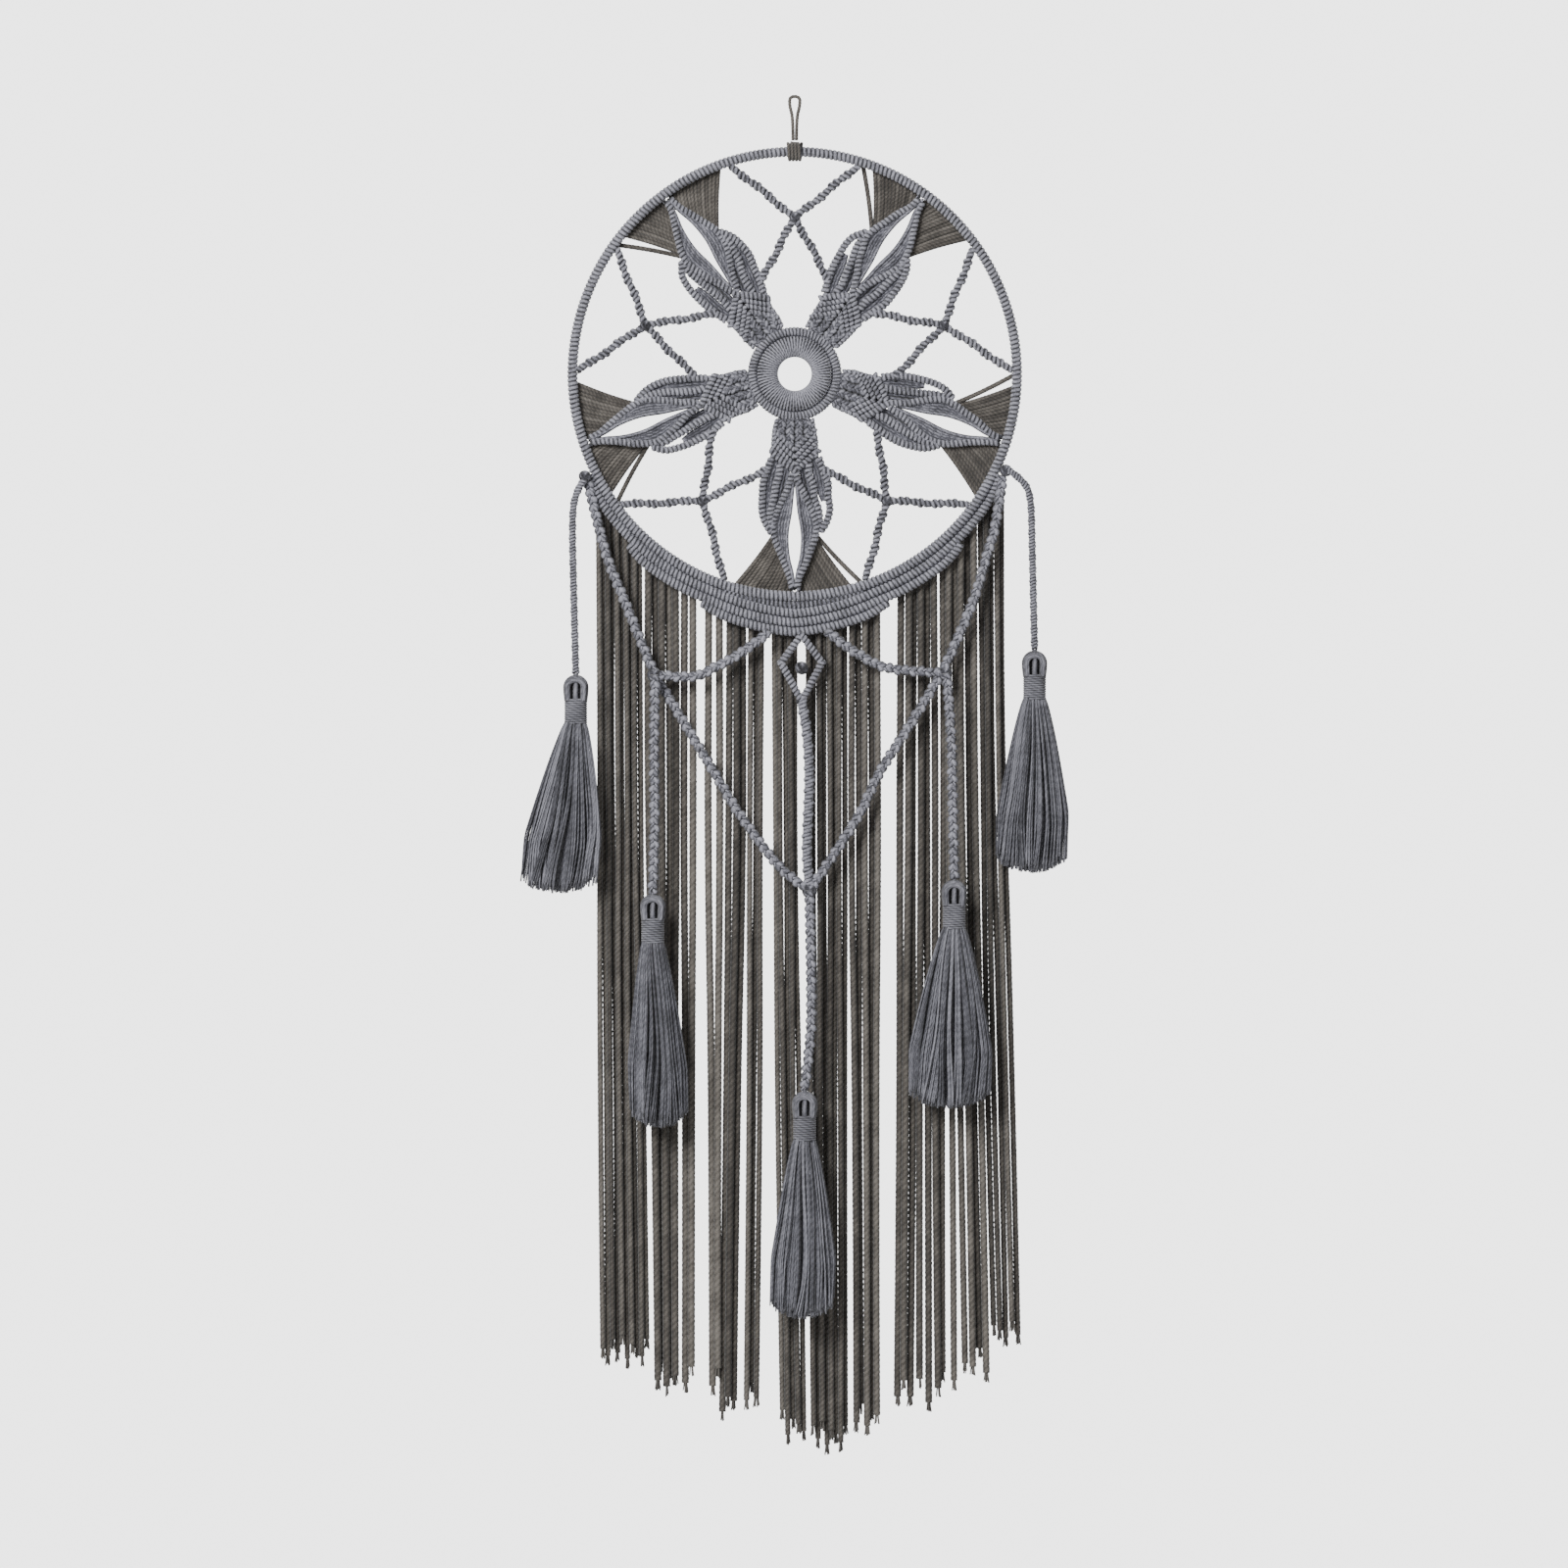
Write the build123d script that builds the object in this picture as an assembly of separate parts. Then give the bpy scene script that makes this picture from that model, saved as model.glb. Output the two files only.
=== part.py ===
"""A hanging macrame dream catcher in cotton cord: one STEP file for each piece.

Millimetres, +Z up, the flat of the hoop in the XZ plane and its front towards -Y.
The origin is the inside of the hanging loop's eye, where the nail goes.
"""

import os
from dataclasses import dataclass
from math import asin, atan2, cos, degrees, radians, sin, sqrt, tan

from build123d import *

os.makedirs("parts", exist_ok=True)

# Cords
CORD_D = 3.0  # plain twisted cotton cord
HANG_CORD_D = 2.2  # the thinner cord that the hoop hangs from
SINNET_D = 5.5  # half-knot spiral of the net
SIDE_CORD_D = 5.0  # fine spiral that carries an outer tassel
BRAID_D = 6.6  # square-knot braid of the swags and the inner tassels
HITCH_D = 6.2  # one row of half hitches over a leading cord

# Hoop and what it hangs from
HOOP_R = 147.0  # centreline of the hoop's steel ring
HOOP_WIRE_D = 4.0
HOOP_WRAP_T = 1.55  # cord wrapped over the ring
EYE_R = 2.3  # inside of the hanging loop's eye
EYE_LENGTH = 13.0  # from the nail to where the two strands close up
HANG_LENGTH = 35.4  # from the nail to the hoop's centreline
KNOT_WIDTH = 9.0  # lark's head along the hoop
KNOT_T = 2.6  # cord standing over the hoop in the knot
COLLAR_RISE = 0.6  # the knot's collar stands over it by this much
STRAND_CLEAR = 0.05  # half the gap between the loop's two strands
TURN_GAP = 0.4  # between the knot and the hoop that tilts in it
END_GAP = 0.4  # between a hanging piece and what it hangs from

# Centre medallion
EYELET_R = 11.0  # hole in the middle
RING_WIRE_D = 4.0
RING_WIDTH = 14.1  # wrapped ring, across its cord
RING_DEPTH = 9.0
COLLAR_D = 6.2  # rope round the wrapped ring

# Petals and net
PETAL_COUNT = 5
PETAL_T = 6.0
STEM_LENGTH = 33.4  # knotted V rows from the collar to the crossing
STEM_HALF_WIDTH = 14.2
CROSSING_HALF_WIDTH = 17.3  # where the rails cross and the side loops begin
SHOULDER_LENGTH = 22.0  # from the crossing to the widest of the side loops
LOOP_HALF_WIDTH = 25.0
LOOP_LENGTH = 37.5  # from the crossing to where the side loops end
RAIL_HALF_WIDTH = 17.0  # there
TIP_HALF_WIDTH = 1.6
LENS_START = 27.0  # open lens between the rails, from the crossing
LENS_LENGTH = 41.3
LENS_HALF_WIDTH = 3.8
FAN_CORDS = 7  # plain cords on each side of a petal's tip
FAN_HALF_ANGLE = 16.0
FAN_INNER_ANGLE = 3.0
NET_CROSSING_R = 103.7
NET_INNER_DEPTH = 2.0  # how far from the crossing's height the net's inner arms meet the stem
NET_OUTER_ANGLE = 17.0
NET_KNOT_D = 8.0
NET_END_SETBACK = 1.0  # the arms' ends bed into the hoop's wrap by this much less than they slant

# Rows of hitches under the hoop, from the hoop outwards
ROW_HALF_ANGLES = (63.5, 44.0, 22.0)
ROW_DIP = 4.7  # how far the rows drop to a point in the middle
DIP_HALF_ANGLE = 20.0
ROW_STEP_ANGLE = 8.0

# Diamond under the rows
DIAMOND_X = 4.5
DIAMOND_HALF_WIDTH = 13.6
DIAMOND_UPPER = 18.1
DIAMOND_LOWER = 25.3
DIAMOND_CORD_D = 5.2
DIAMOND_KNOT_D = 9.0
DIAMOND_LAP = 1.0  # how far its top corner reaches over the rows' edge

# What hangs is laid out for a hoop of this size, and spreads and drops with the real hoop
LAYOUT_R = 147.0
LAYOUT_Z = -182.4  # the height of that hoop's middle
SIDE_LAYOUT = (139.0, -252.0)  # how far out and how high the first row ends in the layout

# Swags
SWAG_Y = -6.0
SWAG_TOP_Y = -2.0  # where they start on the rows
SWAG_LOW_Y = -5.0  # where they stand clear of the rows
NODE_KNOT_D = 10.0  # knot where the inner swag meets the outer one
POINT_KNOT_D = 10.5  # knot at the bottom where both swags meet
LAYER_GAP = 0.45  # between the point's knot and the braid that hangs in front of it

# What hangs in front
SIDE_CORD_Y = -8.5
SIDE_TASSEL_Y = -8.0
HEAD_R = 8.5
HEAD_HEIGHT = 17.0
HEAD_EYE_D = 3.4
NECK_HEIGHT = 15.5
NECK_R = 7.6
SKIRT_HALF_DEPTH = 8.5

# Fringe behind
ROW_GAP = 0.8  # between the rows and the strands behind them
STRAND_GAP = 0.6  # between the two layers of strands

HOOP_Z = -(HANG_LENGTH + HOOP_R)
WRAP_R = HOOP_WIRE_D / 2 + HOOP_WRAP_T
RING_R = EYELET_R + RING_WIDTH / 2
COLLAR_R = EYELET_R + RING_WIDTH + COLLAR_D / 2
COLLAR_OUTER = COLLAR_R + COLLAR_D / 2
CROSSING_R = COLLAR_OUTER + STEM_LENGTH
BRAID_Y = SWAG_Y - POINT_KNOT_D / 2 - LAYER_GAP - BRAID_D / 2
FRINGE_Y = HITCH_D / 2 + ROW_GAP + CORD_D / 2  # front layer of strands
FRINGE_LAYER = CORD_D + STRAND_GAP  # from one layer to the next


def polar(radius, angle, y=0.0):
    """A point on the hoop's plane, the angle in degrees from +X towards +Z."""
    return (radius * cos(radians(angle)), y, HOOP_Z + radius * sin(radians(angle)))


def spread(x):
    """A distance across the layout, for the real hoop."""
    return x * HOOP_R / LAYOUT_R


def drop(z):
    """A height of the layout, for the real hoop."""
    return HOOP_Z + (z - LAYOUT_Z) * HOOP_R / LAYOUT_R


def laid(points):
    """Points of the layout, for the real hoop."""
    return [(spread(x), y, drop(z)) for x, y, z in points]


def corner_radii(points):
    """Each corner's radius: 0.45 of its shorter run over the tangent of half its turn."""
    corners = [Vector(*p) for p in points]
    radii = []
    for before, here, after in zip(corners, corners[1:], corners[2:]):
        turn = (here - before).get_angle(after - here)
        run = min((here - before).length, (after - here).length)
        radii.append(0.45 * run / tan(radians(turn) / 2))
    return radii


def tube(name, points, diameter):
    """A round cord along straight runs joined by arcs, checked by its volume."""
    radii = corner_radii(points)
    path = FilletPolyline(*points, radius=radii) if radii else Line(*points)
    start = Plane(origin=path @ 0, z_dir=path % 0)
    solid = sweep(start * Circle(diameter / 2), path=path)
    section = Circle(diameter / 2).area
    tightest = min(radii) if radii else 0
    print(f"{name}: length {path.length:.1f}, tightest arc {tightest:.1f}, "
          f"volume over section times length {solid.volume / section / path.length:.4f}")
    return solid


def fit_ends(points, start, end):
    """The route moved so that its ends meet start and end, the shift fading between them."""
    first, last = Vector(*start) - Vector(*points[0]), Vector(*end) - Vector(*points[-1])
    moved = []
    for i, point in enumerate(points):
        share = i / (len(points) - 1)
        spot = Vector(*point) + first * (1 - share) + last * share
        moved.append((spot.X, spot.Y, spot.Z))
    return moved


def rod(start, end, diameter):
    """A straight round cord from start to end."""
    line = Vector(*end) - Vector(*start)
    return extrude(Plane(origin=start, z_dir=line) * Circle(diameter / 2), amount=line.length)


def write(name, shape):
    """Writes one piece's STEP file."""
    shape.label = name
    export_step(shape, f"parts/{name}.step")


def upright_ring(radius, section, z):
    """A ring in the XZ plane: the section, X across and Y deep, turned about the Y axis."""
    ring = revolve(Pos(radius, 0) * section, axis=Axis.Y)
    return Pos(0, 0, z) * ring


# Hanging loop and lark's head ------------------------------------------------------------------
hoop_top = HOOP_Z + HOOP_R
knot_bore = WRAP_R + TURN_GAP
knot_r = knot_bore + KNOT_T
neck_top = hoop_top + knot_r + COLLAR_RISE
strand_x = HANG_CORD_D / 2 + STRAND_CLEAR
eye_x = EYE_R + HANG_CORD_D / 2


def hanging_loop():
    """Two strands side by side that open into an eye over the nail."""
    rise = [
        (strand_x, neck_top + END_GAP),
        (strand_x, -EYE_LENGTH),
        (eye_x, -EYE_LENGTH * 0.4),
        (eye_x, HANG_CORD_D / 2),
    ]
    left = [(-x, 0, z) for x, z in rise]
    right = [(x, 0, z) for x, z in reversed(rise)]
    write("hanging_loop", tube("hanging_loop", left + right, HANG_CORD_D))


def hanging_knot():
    """The lark's head: a sleeve of cord round the hoop, with the strands' collar on top."""
    sleeve = Rot(0, 90, 0) * Cylinder(knot_r, KNOT_WIDTH)
    collar_height = knot_r + COLLAR_RISE
    collar = Pos(0, 0, collar_height / 2) * Cylinder(HANG_CORD_D * 1.5, collar_height)
    bore = Rot(0, 90, 0) * Cylinder(knot_bore, KNOT_WIDTH * 2)
    write("hanging_knot", Pos(0, 0, hoop_top) * (sleeve + collar - bore))


# Hoop and medallion ----------------------------------------------------------------------------
def hoop():
    """The steel ring and the cord wrapped over it."""
    core = upright_ring(HOOP_R, Circle(HOOP_WIRE_D / 2), HOOP_Z)
    wrap = upright_ring(HOOP_R, Circle(WRAP_R) - Circle(HOOP_WIRE_D / 2), HOOP_Z)
    write("hoop_core", core)
    write("hoop_wrap", wrap)


def medallion():
    """The small wrapped ring in the middle and the rope collar round it."""
    wrap = Ellipse(RING_WIDTH / 2, RING_DEPTH / 2) - Circle(RING_WIRE_D / 2)
    write("centre_ring_core", upright_ring(RING_R, Circle(RING_WIRE_D / 2), HOOP_Z))
    write("centre_ring_wrap", upright_ring(RING_R, wrap, HOOP_Z))
    write("centre_collar", upright_ring(COLLAR_R, Circle(COLLAR_D / 2), HOOP_Z))


# Petals, fans and net --------------------------------------------------------------------------
TIP_R = HOOP_R - WRAP_R


def rail_half_width(radius):
    """Half the width of a petal between the end of its side loops and its tip."""
    start = CROSSING_R + LOOP_LENGTH
    share = (radius - start) / (TIP_R - start)
    return RAIL_HALF_WIDTH + (TIP_HALF_WIDTH - RAIL_HALF_WIDTH) * share


def petal(number, angle):
    """A flat knotted petal: stem, waist, side loops and rails round an open lens."""
    widest = CROSSING_R + SHOULDER_LENGTH
    loop_end = CROSSING_R + LOOP_LENGTH
    side = [
        (COLLAR_OUTER, STEM_HALF_WIDTH),
        (CROSSING_R - STEM_LENGTH * 0.2, STEM_HALF_WIDTH),
        (CROSSING_R, CROSSING_HALF_WIDTH),
        (CROSSING_R + SHOULDER_LENGTH * 0.5, (CROSSING_HALF_WIDTH + LOOP_HALF_WIDTH * 2) / 3),
        (widest, LOOP_HALF_WIDTH),
        ((widest + loop_end) / 2, (RAIL_HALF_WIDTH + LOOP_HALF_WIDTH * 2) / 3),
        (loop_end, RAIL_HALF_WIDTH),
        (TIP_R, TIP_HALF_WIDTH),
    ]
    outline = Polyline(*side, *[(r, -v) for r, v in reversed(side)], close=True)
    lens_from = CROSSING_R + LENS_START
    lens_to = lens_from + LENS_LENGTH
    lens_mid = (lens_from + lens_to) / 2
    lens = ThreePointArc((lens_from, 0), (lens_mid, LENS_HALF_WIDTH), (lens_to, 0))
    lens += ThreePointArc((lens_to, 0), (lens_mid, -LENS_HALF_WIDTH), (lens_from, 0))
    flat = make_face(outline) - make_face(lens)
    along = (cos(radians(angle)), 0, sin(radians(angle)))
    plane = Plane(origin=(0, 0, HOOP_Z), x_dir=along, z_dir=(0, -1, 0))
    write(f"petal_{number}", extrude(plane * flat, amount=PETAL_T / 2, both=True))


def fan(number, angle):
    """Plain cords that spread behind a petal's tip, from its rails to the hoop."""
    y = PETAL_T / 2 + CORD_D / 2
    first = CROSSING_R + LOOP_LENGTH + CORD_D
    pitch = (TIP_R - first) / FAN_CORDS
    turn = (FAN_HALF_ANGLE - FAN_INNER_ANGLE) / (FAN_CORDS - 1)
    cords = []
    for side in (-1, 1):
        for i in range(FAN_CORDS):
            radius = first + pitch * i
            spread = degrees(asin((rail_half_width(radius) - CORD_D / 2) / radius))
            start = polar(radius, angle + side * spread, y)
            end = polar(HOOP_R, angle + side * (FAN_HALF_ANGLE - turn * i), y)
            cords.append(rod(start, end, CORD_D))
    write(f"fan_{number}", Compound(cords))


def net_cross(number, angle):
    """Four spiral arms that meet in one knot: two to the hoop and two to the petals."""
    depth, out = CROSSING_R - NET_INNER_DEPTH, CROSSING_HALF_WIDTH
    inner_r, inner_spread = sqrt(depth**2 + out**2), degrees(atan2(out, depth))
    middle = polar(NET_CROSSING_R, angle)
    knot = Pos(*middle) * Sphere(NET_KNOT_D / 2)
    for side in (-1, 1):
        outer = polar(TIP_R - NET_END_SETBACK, angle + side * NET_OUTER_ANGLE)
        inner = polar(inner_r, angle + side * (180 / PETAL_COUNT - inner_spread))
        knot += rod(middle, outer, SINNET_D)
        knot += rod(middle, inner, SINNET_D)
    write(f"net_cross_{number}", knot)


# Rows of hitches -------------------------------------------------------------------------------
def row_radius(row, from_bottom):
    """A row's centreline radius, from_bottom degrees away from the hoop's lowest point."""
    dip = ROW_DIP * max(0.0, 1 - abs(from_bottom) / DIP_HALF_ANGLE)
    return HOOP_R + WRAP_R + HITCH_D * (row + 0.5) + dip


def row_edge(x):
    """The height of the lower edge of the lowest row over x."""
    from_bottom = degrees(asin(x / (HOOP_R + WRAP_R + HITCH_D)))
    row = max(i for i, half in enumerate(ROW_HALF_ANGLES) if i == 0 or abs(from_bottom) < half)
    radius = row_radius(row, from_bottom) + HITCH_D / 2
    return HOOP_Z - sqrt(radius**2 - x**2)


def hitch_row(row):
    """One row of half hitches that follows the hoop and dips to a point in the middle."""
    half = ROW_HALF_ANGLES[row]
    steps = round(half / ROW_STEP_ANGLE)
    angles = [half * i / steps for i in range(-steps, steps + 1)]
    route = [polar(row_radius(row, a), a - 90) for a in angles]
    write(f"hitch_row_{row + 1}", tube(f"hitch_row_{row + 1}", route, HITCH_D))


# Diamond ---------------------------------------------------------------------------------------
ROWS_BOTTOM = row_edge(0)
DIAMOND_TOP = ROWS_BOTTOM + DIAMOND_LAP
DIAMOND_MIDDLE = DIAMOND_TOP - DIAMOND_UPPER
DIAMOND_BOTTOM = DIAMOND_MIDDLE - DIAMOND_LOWER


def diamond():
    """A diamond of hitched cord with a knot in it."""
    y = SWAG_Y / 2
    corners = [
        (DIAMOND_X, y, DIAMOND_TOP),
        (DIAMOND_X + DIAMOND_HALF_WIDTH, y, DIAMOND_MIDDLE),
        (DIAMOND_X, y, DIAMOND_BOTTOM),
        (DIAMOND_X - DIAMOND_HALF_WIDTH, y, DIAMOND_MIDDLE),
    ]
    frame = Pos(*corners[0]) * Sphere(DIAMOND_CORD_D / 2)
    for start, end in zip(corners, corners[1:] + corners[:1]):
        frame += rod(start, end, DIAMOND_CORD_D)
        frame += Pos(*end) * Sphere(DIAMOND_CORD_D / 2)
    write("diamond_frame", frame)
    middle = (DIAMOND_TOP + DIAMOND_BOTTOM) / 2
    write("diamond_knot", Pos(DIAMOND_X, y, middle) * Sphere(DIAMOND_KNOT_D / 2))


# Swags -----------------------------------------------------------------------------------------
LEFT_NODE, RIGHT_NODE, POINT = laid(
    [(-92.8, SWAG_Y, -381.8), (99.1, SWAG_Y, -380.5), (9.7, SWAG_Y, -524.0)]
)
INNER_LEFT_X, INNER_RIGHT_X = spread(-17.5), spread(22.0)
LEFT_SWAG = [
    (-139, SWAG_TOP_Y, -252), (-131, SWAG_LOW_Y, -284), (-124, SWAG_Y, -308), (-114, SWAG_Y, -332),
    (-102.5, SWAG_Y, -360), (-92.8, SWAG_Y, -381.8), (-77, SWAG_Y, -408), (-55, SWAG_Y, -444),
    (-36.5, SWAG_Y, -474), (-10.5, SWAG_Y, -508), (9.7, SWAG_Y, -524),
]
RIGHT_SWAG = [
    (143, SWAG_TOP_Y, -250), (137, SWAG_LOW_Y, -284), (131.5, SWAG_Y, -301), (123.5, SWAG_Y, -327),
    (113, SWAG_Y, -352), (99.1, SWAG_Y, -380.5), (79, SWAG_Y, -413), (57.5, SWAG_Y, -446),
    (45, SWAG_Y, -471), (29, SWAG_Y, -496), (9.7, SWAG_Y, -524),
]
LEFT_INNER_SWAG = [
    (-17.5, SWAG_LOW_Y, -359.5), (-36, SWAG_Y, -371.5), (-52, SWAG_Y, -379), (-67, SWAG_Y, -384),
    (-92.8, SWAG_Y, -381.8),
]
RIGHT_INNER_SWAG = [
    (22, SWAG_LOW_Y, -359.5), (30.5, SWAG_Y, -365), (42, SWAG_Y, -371), (61, SWAG_Y, -378.5),
    (99.1, SWAG_Y, -380.5),
]
CENTRE_BRAID = [
    (4.5, SWAG_LOW_Y, -400), (8, SWAG_Y, -422), (9.5, SWAG_Y, -450), (8.5, SWAG_Y, -480),
    (8, SWAG_Y, -500), (9.7, SWAG_Y, -524),
]


def row_end(side, y):
    """Where the first row ends on the hoop, on the side given by -1 or 1."""
    return polar(row_radius(0, ROW_HALF_ANGLES[0]), side * ROW_HALF_ANGLES[0] - 90, y)


def under_rows(x):
    """Where an inner swag starts, on the lower edge of the rows."""
    return (x, SWAG_LOW_Y, row_edge(x))


def swags():
    """The two long swags, the two inner ones, the centre braid and their knots."""
    routes = {
        "swag_left": (LEFT_SWAG, row_end(-1, SWAG_TOP_Y), POINT),
        "swag_right": (RIGHT_SWAG, row_end(1, SWAG_TOP_Y), POINT),
        "swag_inner_left": (LEFT_INNER_SWAG, under_rows(INNER_LEFT_X), LEFT_NODE),
        "swag_inner_right": (RIGHT_INNER_SWAG, under_rows(INNER_RIGHT_X), RIGHT_NODE),
        "centre_braid": (CENTRE_BRAID, (DIAMOND_X, SWAG_LOW_Y, DIAMOND_BOTTOM), POINT),
    }
    for name, (route, start, end) in routes.items():
        write(name, tube(name, fit_ends(laid(route), start, end), BRAID_D))
    write("swag_knot_left", Pos(*LEFT_NODE) * Sphere(NODE_KNOT_D / 2))
    write("swag_knot_right", Pos(*RIGHT_NODE) * Sphere(NODE_KNOT_D / 2))
    write("swag_knot_point", Pos(*POINT) * Sphere(POINT_KNOT_D / 2))


# Tassels and the cords that carry them ---------------------------------------------------------
@dataclass
class Tassel:
    """A tassel: its cord's route down to the head, and its skirt's length and how far it spreads."""

    name: str
    cord: str
    cord_d: float
    route: list
    skirt_length: float
    hem_left: float  # from the tassel's middle
    hem_right: float

    def make(self):
        """Writes the cord, the head with its eye, the neck binding and the skirt."""
        write(self.cord, tube(self.cord, self.route, self.cord_d))
        x, y, z = self.route[-1]
        top = z - END_GAP
        neck_from = top - HEAD_HEIGHT
        neck_to = neck_from - NECK_HEIGHT
        hem = neck_to - self.skirt_length
        head = Pos(x, y, top - HEAD_R) * Sphere(HEAD_R)
        taper = HEAD_HEIGHT - HEAD_R
        head += Pos(x, y, neck_from + taper / 2) * Cone(NECK_R, HEAD_R, taper)
        head -= Pos(x, y, top - HEAD_R) * Rot(90, 0, 0) * Cylinder(HEAD_EYE_D / 2, HEAD_R * 4)
        write(f"{self.name}_head", head)
        binding = Pos(x, y, neck_to + NECK_HEIGHT / 2) * Cylinder(NECK_R, NECK_HEIGHT)
        write(f"{self.name}_binding", binding)
        lean, half = (self.hem_left + self.hem_right) / 2, (self.hem_right - self.hem_left) / 2
        sections = []
        for share in (0.0, 0.3, 1.0):
            centre = x + lean * share
            wide = NECK_R + (half - NECK_R) * share
            deep = NECK_R + (SKIRT_HALF_DEPTH - NECK_R) * share
            place = Pos(centre, y, neck_to - self.skirt_length * share)
            sections.append(place * Ellipse(wide, deep))
        write(f"{self.name}_skirt", loft(sections))
        print(f"{self.name}: head {top:.1f}, neck {neck_from:.1f} to {neck_to:.1f}, hem {hem:.1f}")


def from_row_end(points, side):
    """A side cord's points, given for a first row that ends at SIDE_LAYOUT, for the real row's end."""
    end = row_end(side, 0)
    across, down = end[0] - side * spread(SIDE_LAYOUT[0]), end[2] - drop(SIDE_LAYOUT[1])
    return [(x + across, y, z + down) for x, y, z in laid(points)]


def tassels():
    """The five tassels, from the left to the right."""
    side_y, low_y = SIDE_CORD_Y - 0.5, SIDE_TASSEL_Y
    left_side = [
        (-141, SIDE_CORD_Y, -254), (-146.5, side_y, -263), (-148.5, side_y, -280),
        (-147.5, low_y, -324), (-146, low_y, -381.5),
    ]
    right_side = [
        (142, SIDE_CORD_Y, -247), (154, side_y, -255), (157.5, side_y, -268), (158, low_y, -290),
        (159.8, low_y, -365.5),
    ]
    left = [(-92, BRAID_Y, -383), (-93, BRAID_Y, -430), (-92, BRAID_Y, -478), (-93.5, BRAID_Y, -525)]
    right = [
        (100, BRAID_Y, -382), (103.5, BRAID_Y, -419), (104, BRAID_Y, -470), (105, BRAID_Y, -515.5),
    ]
    centre = [(9.7, BRAID_Y, -525), (11.7, BRAID_Y, -602), (9, BRAID_Y, -635), (6.5, BRAID_Y, -655)]
    side_cords = from_row_end(left_side, -1), from_row_end(right_side, 1)
    for item in (
        Tassel("tassel_outer_left", "side_cord_left", SIDE_CORD_D, side_cords[0], 111.5, -37.5, 16.5),
        Tassel("tassel_inner_left", "braid_left", BRAID_D, laid(left), 121.0, -16.0, 24.5),
        Tassel("tassel_centre", "braid_centre", BRAID_D, laid(centre), 117.0, -24.0, 21.0),
        Tassel("tassel_inner_right", "braid_right", BRAID_D, laid(right), 118.0, -32.0, 25.0),
        Tassel("tassel_outer_right", "side_cord_right", SIDE_CORD_D, side_cords[1], 114.0, -26.3, 22.7),
    ):
        item.make()


# Fringe ----------------------------------------------------------------------------------------
@dataclass
class Lock:
    """Strands side by side: how many, where the first and last start and end, their end height."""

    count: int
    top_from: float
    top_to: float
    end_from: float
    end_to: float
    end_z: float


FRINGE = {
    "fringe_far_left": [Lock(10, -130.0, -103.0, -127.0, -98.0, -833)],
    "fringe_left": [
        Lock(5, -97.0, -79.0, -90.5, -79.0, -851),
        Lock(2, -73.0, -67.5, -72.5, -68.5, -851),
        Lock(2, -57.0, -50.0, -54.5, -51.0, -855),
        Lock(3, -43.0, -34.5, -48.0, -40.5, -868),
        Lock(3, -29.0, -22.0, -32.0, -25.5, -862),
    ],
    "fringe_centre": [
        Lock(5, -13.5, 0.0, -8.0, 6.0, -883),
        Lock(8, 9.0, 33.0, 12.5, 33.5, -890),
    ],
    "fringe_right": [
        Lock(2, 38.0, 42.0, 41.0, 44.0, -879),
        Lock(3, 46.5, 54.5, 48.0, 54.5, -877),
        Lock(2, 70.5, 75.5, 68.0, 72.0, -860),
        Lock(4, 79.0, 92.0, 76.5, 95.0, -862),
    ],
    "fringe_far_right": [
        Lock(3, 98.0, 106.0, 98.0, 113.0, -849),
        Lock(3, 110.0, 118.5, 118.0, 127.0, -842),
        Lock(5, 123.0, 137.0, 132.0, 148.0, -821),
    ],
}
DRIFTS = (0.9, -0.7, 0.4, -1.0, 0.7, -0.4, 1.0)  # how far a strand bows aside, in turn
RAGGED = (0, 5, -6, 3, -9, 7, -3)  # how much longer a strand hangs, in turn


def strand_route(lock, i, order):
    """One strand's points: from under the rows, bowing slightly, down to its cut end."""
    share = i / (lock.count - 1)
    top_x = spread(lock.top_from + (lock.top_to - lock.top_from) * share)
    end_x = spread(lock.end_from + (lock.end_to - lock.end_from) * share)
    top_z = row_edge(top_x) - END_GAP
    end_z = drop(lock.end_z) - RAGGED[order % len(RAGGED)]
    drift = DRIFTS[order % len(DRIFTS)]
    y = FRINGE_Y + FRINGE_LAYER * (order % 2)
    route = []
    for down, lean, bow in ((0, 0, 0), (0.3, 0.1, 1), (0.62, 0.5, -1), (1, 1, 0)):
        x = top_x + (end_x - top_x) * lean + drift * bow
        route.append((x, y, top_z + (end_z - top_z) * down))
    return route


def fringe():
    """Plain strands that hang from the rows, in five groups that sway apart."""
    order = 0
    for name, locks in FRINGE.items():
        strands = []
        for lock in locks:
            for i in range(lock.count):
                route = strand_route(lock, i, order)
                strands.append(tube(f"{name} strand {len(strands) + 1}", route, CORD_D))
                order += 1
        write(name, Compound(strands))


hanging_loop()
hanging_knot()
hoop()
medallion()
for k in range(PETAL_COUNT):
    petal(k + 1, -90 + 360 / PETAL_COUNT * k)
    fan(k + 1, -90 + 360 / PETAL_COUNT * k)
    net_cross(k + 1, 90 + 360 / PETAL_COUNT * k)
for k in range(len(ROW_HALF_ANGLES)):
    hitch_row(k)
diamond()
swags()
tassels()
fringe()
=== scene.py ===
"""A macrame dream catcher in grey cotton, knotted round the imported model's frame.

+Z up, the front towards -Y, the origin at the hanging loop's eye. Every cord is worked out as a
surface swept along a line, and every line comes from the sizes that the classes hold. Sizes are in
millimetres, and Yarn.knit() turns the finished surface into metres.
"""

import logging
from dataclasses import dataclass, field
from enum import Enum

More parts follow.
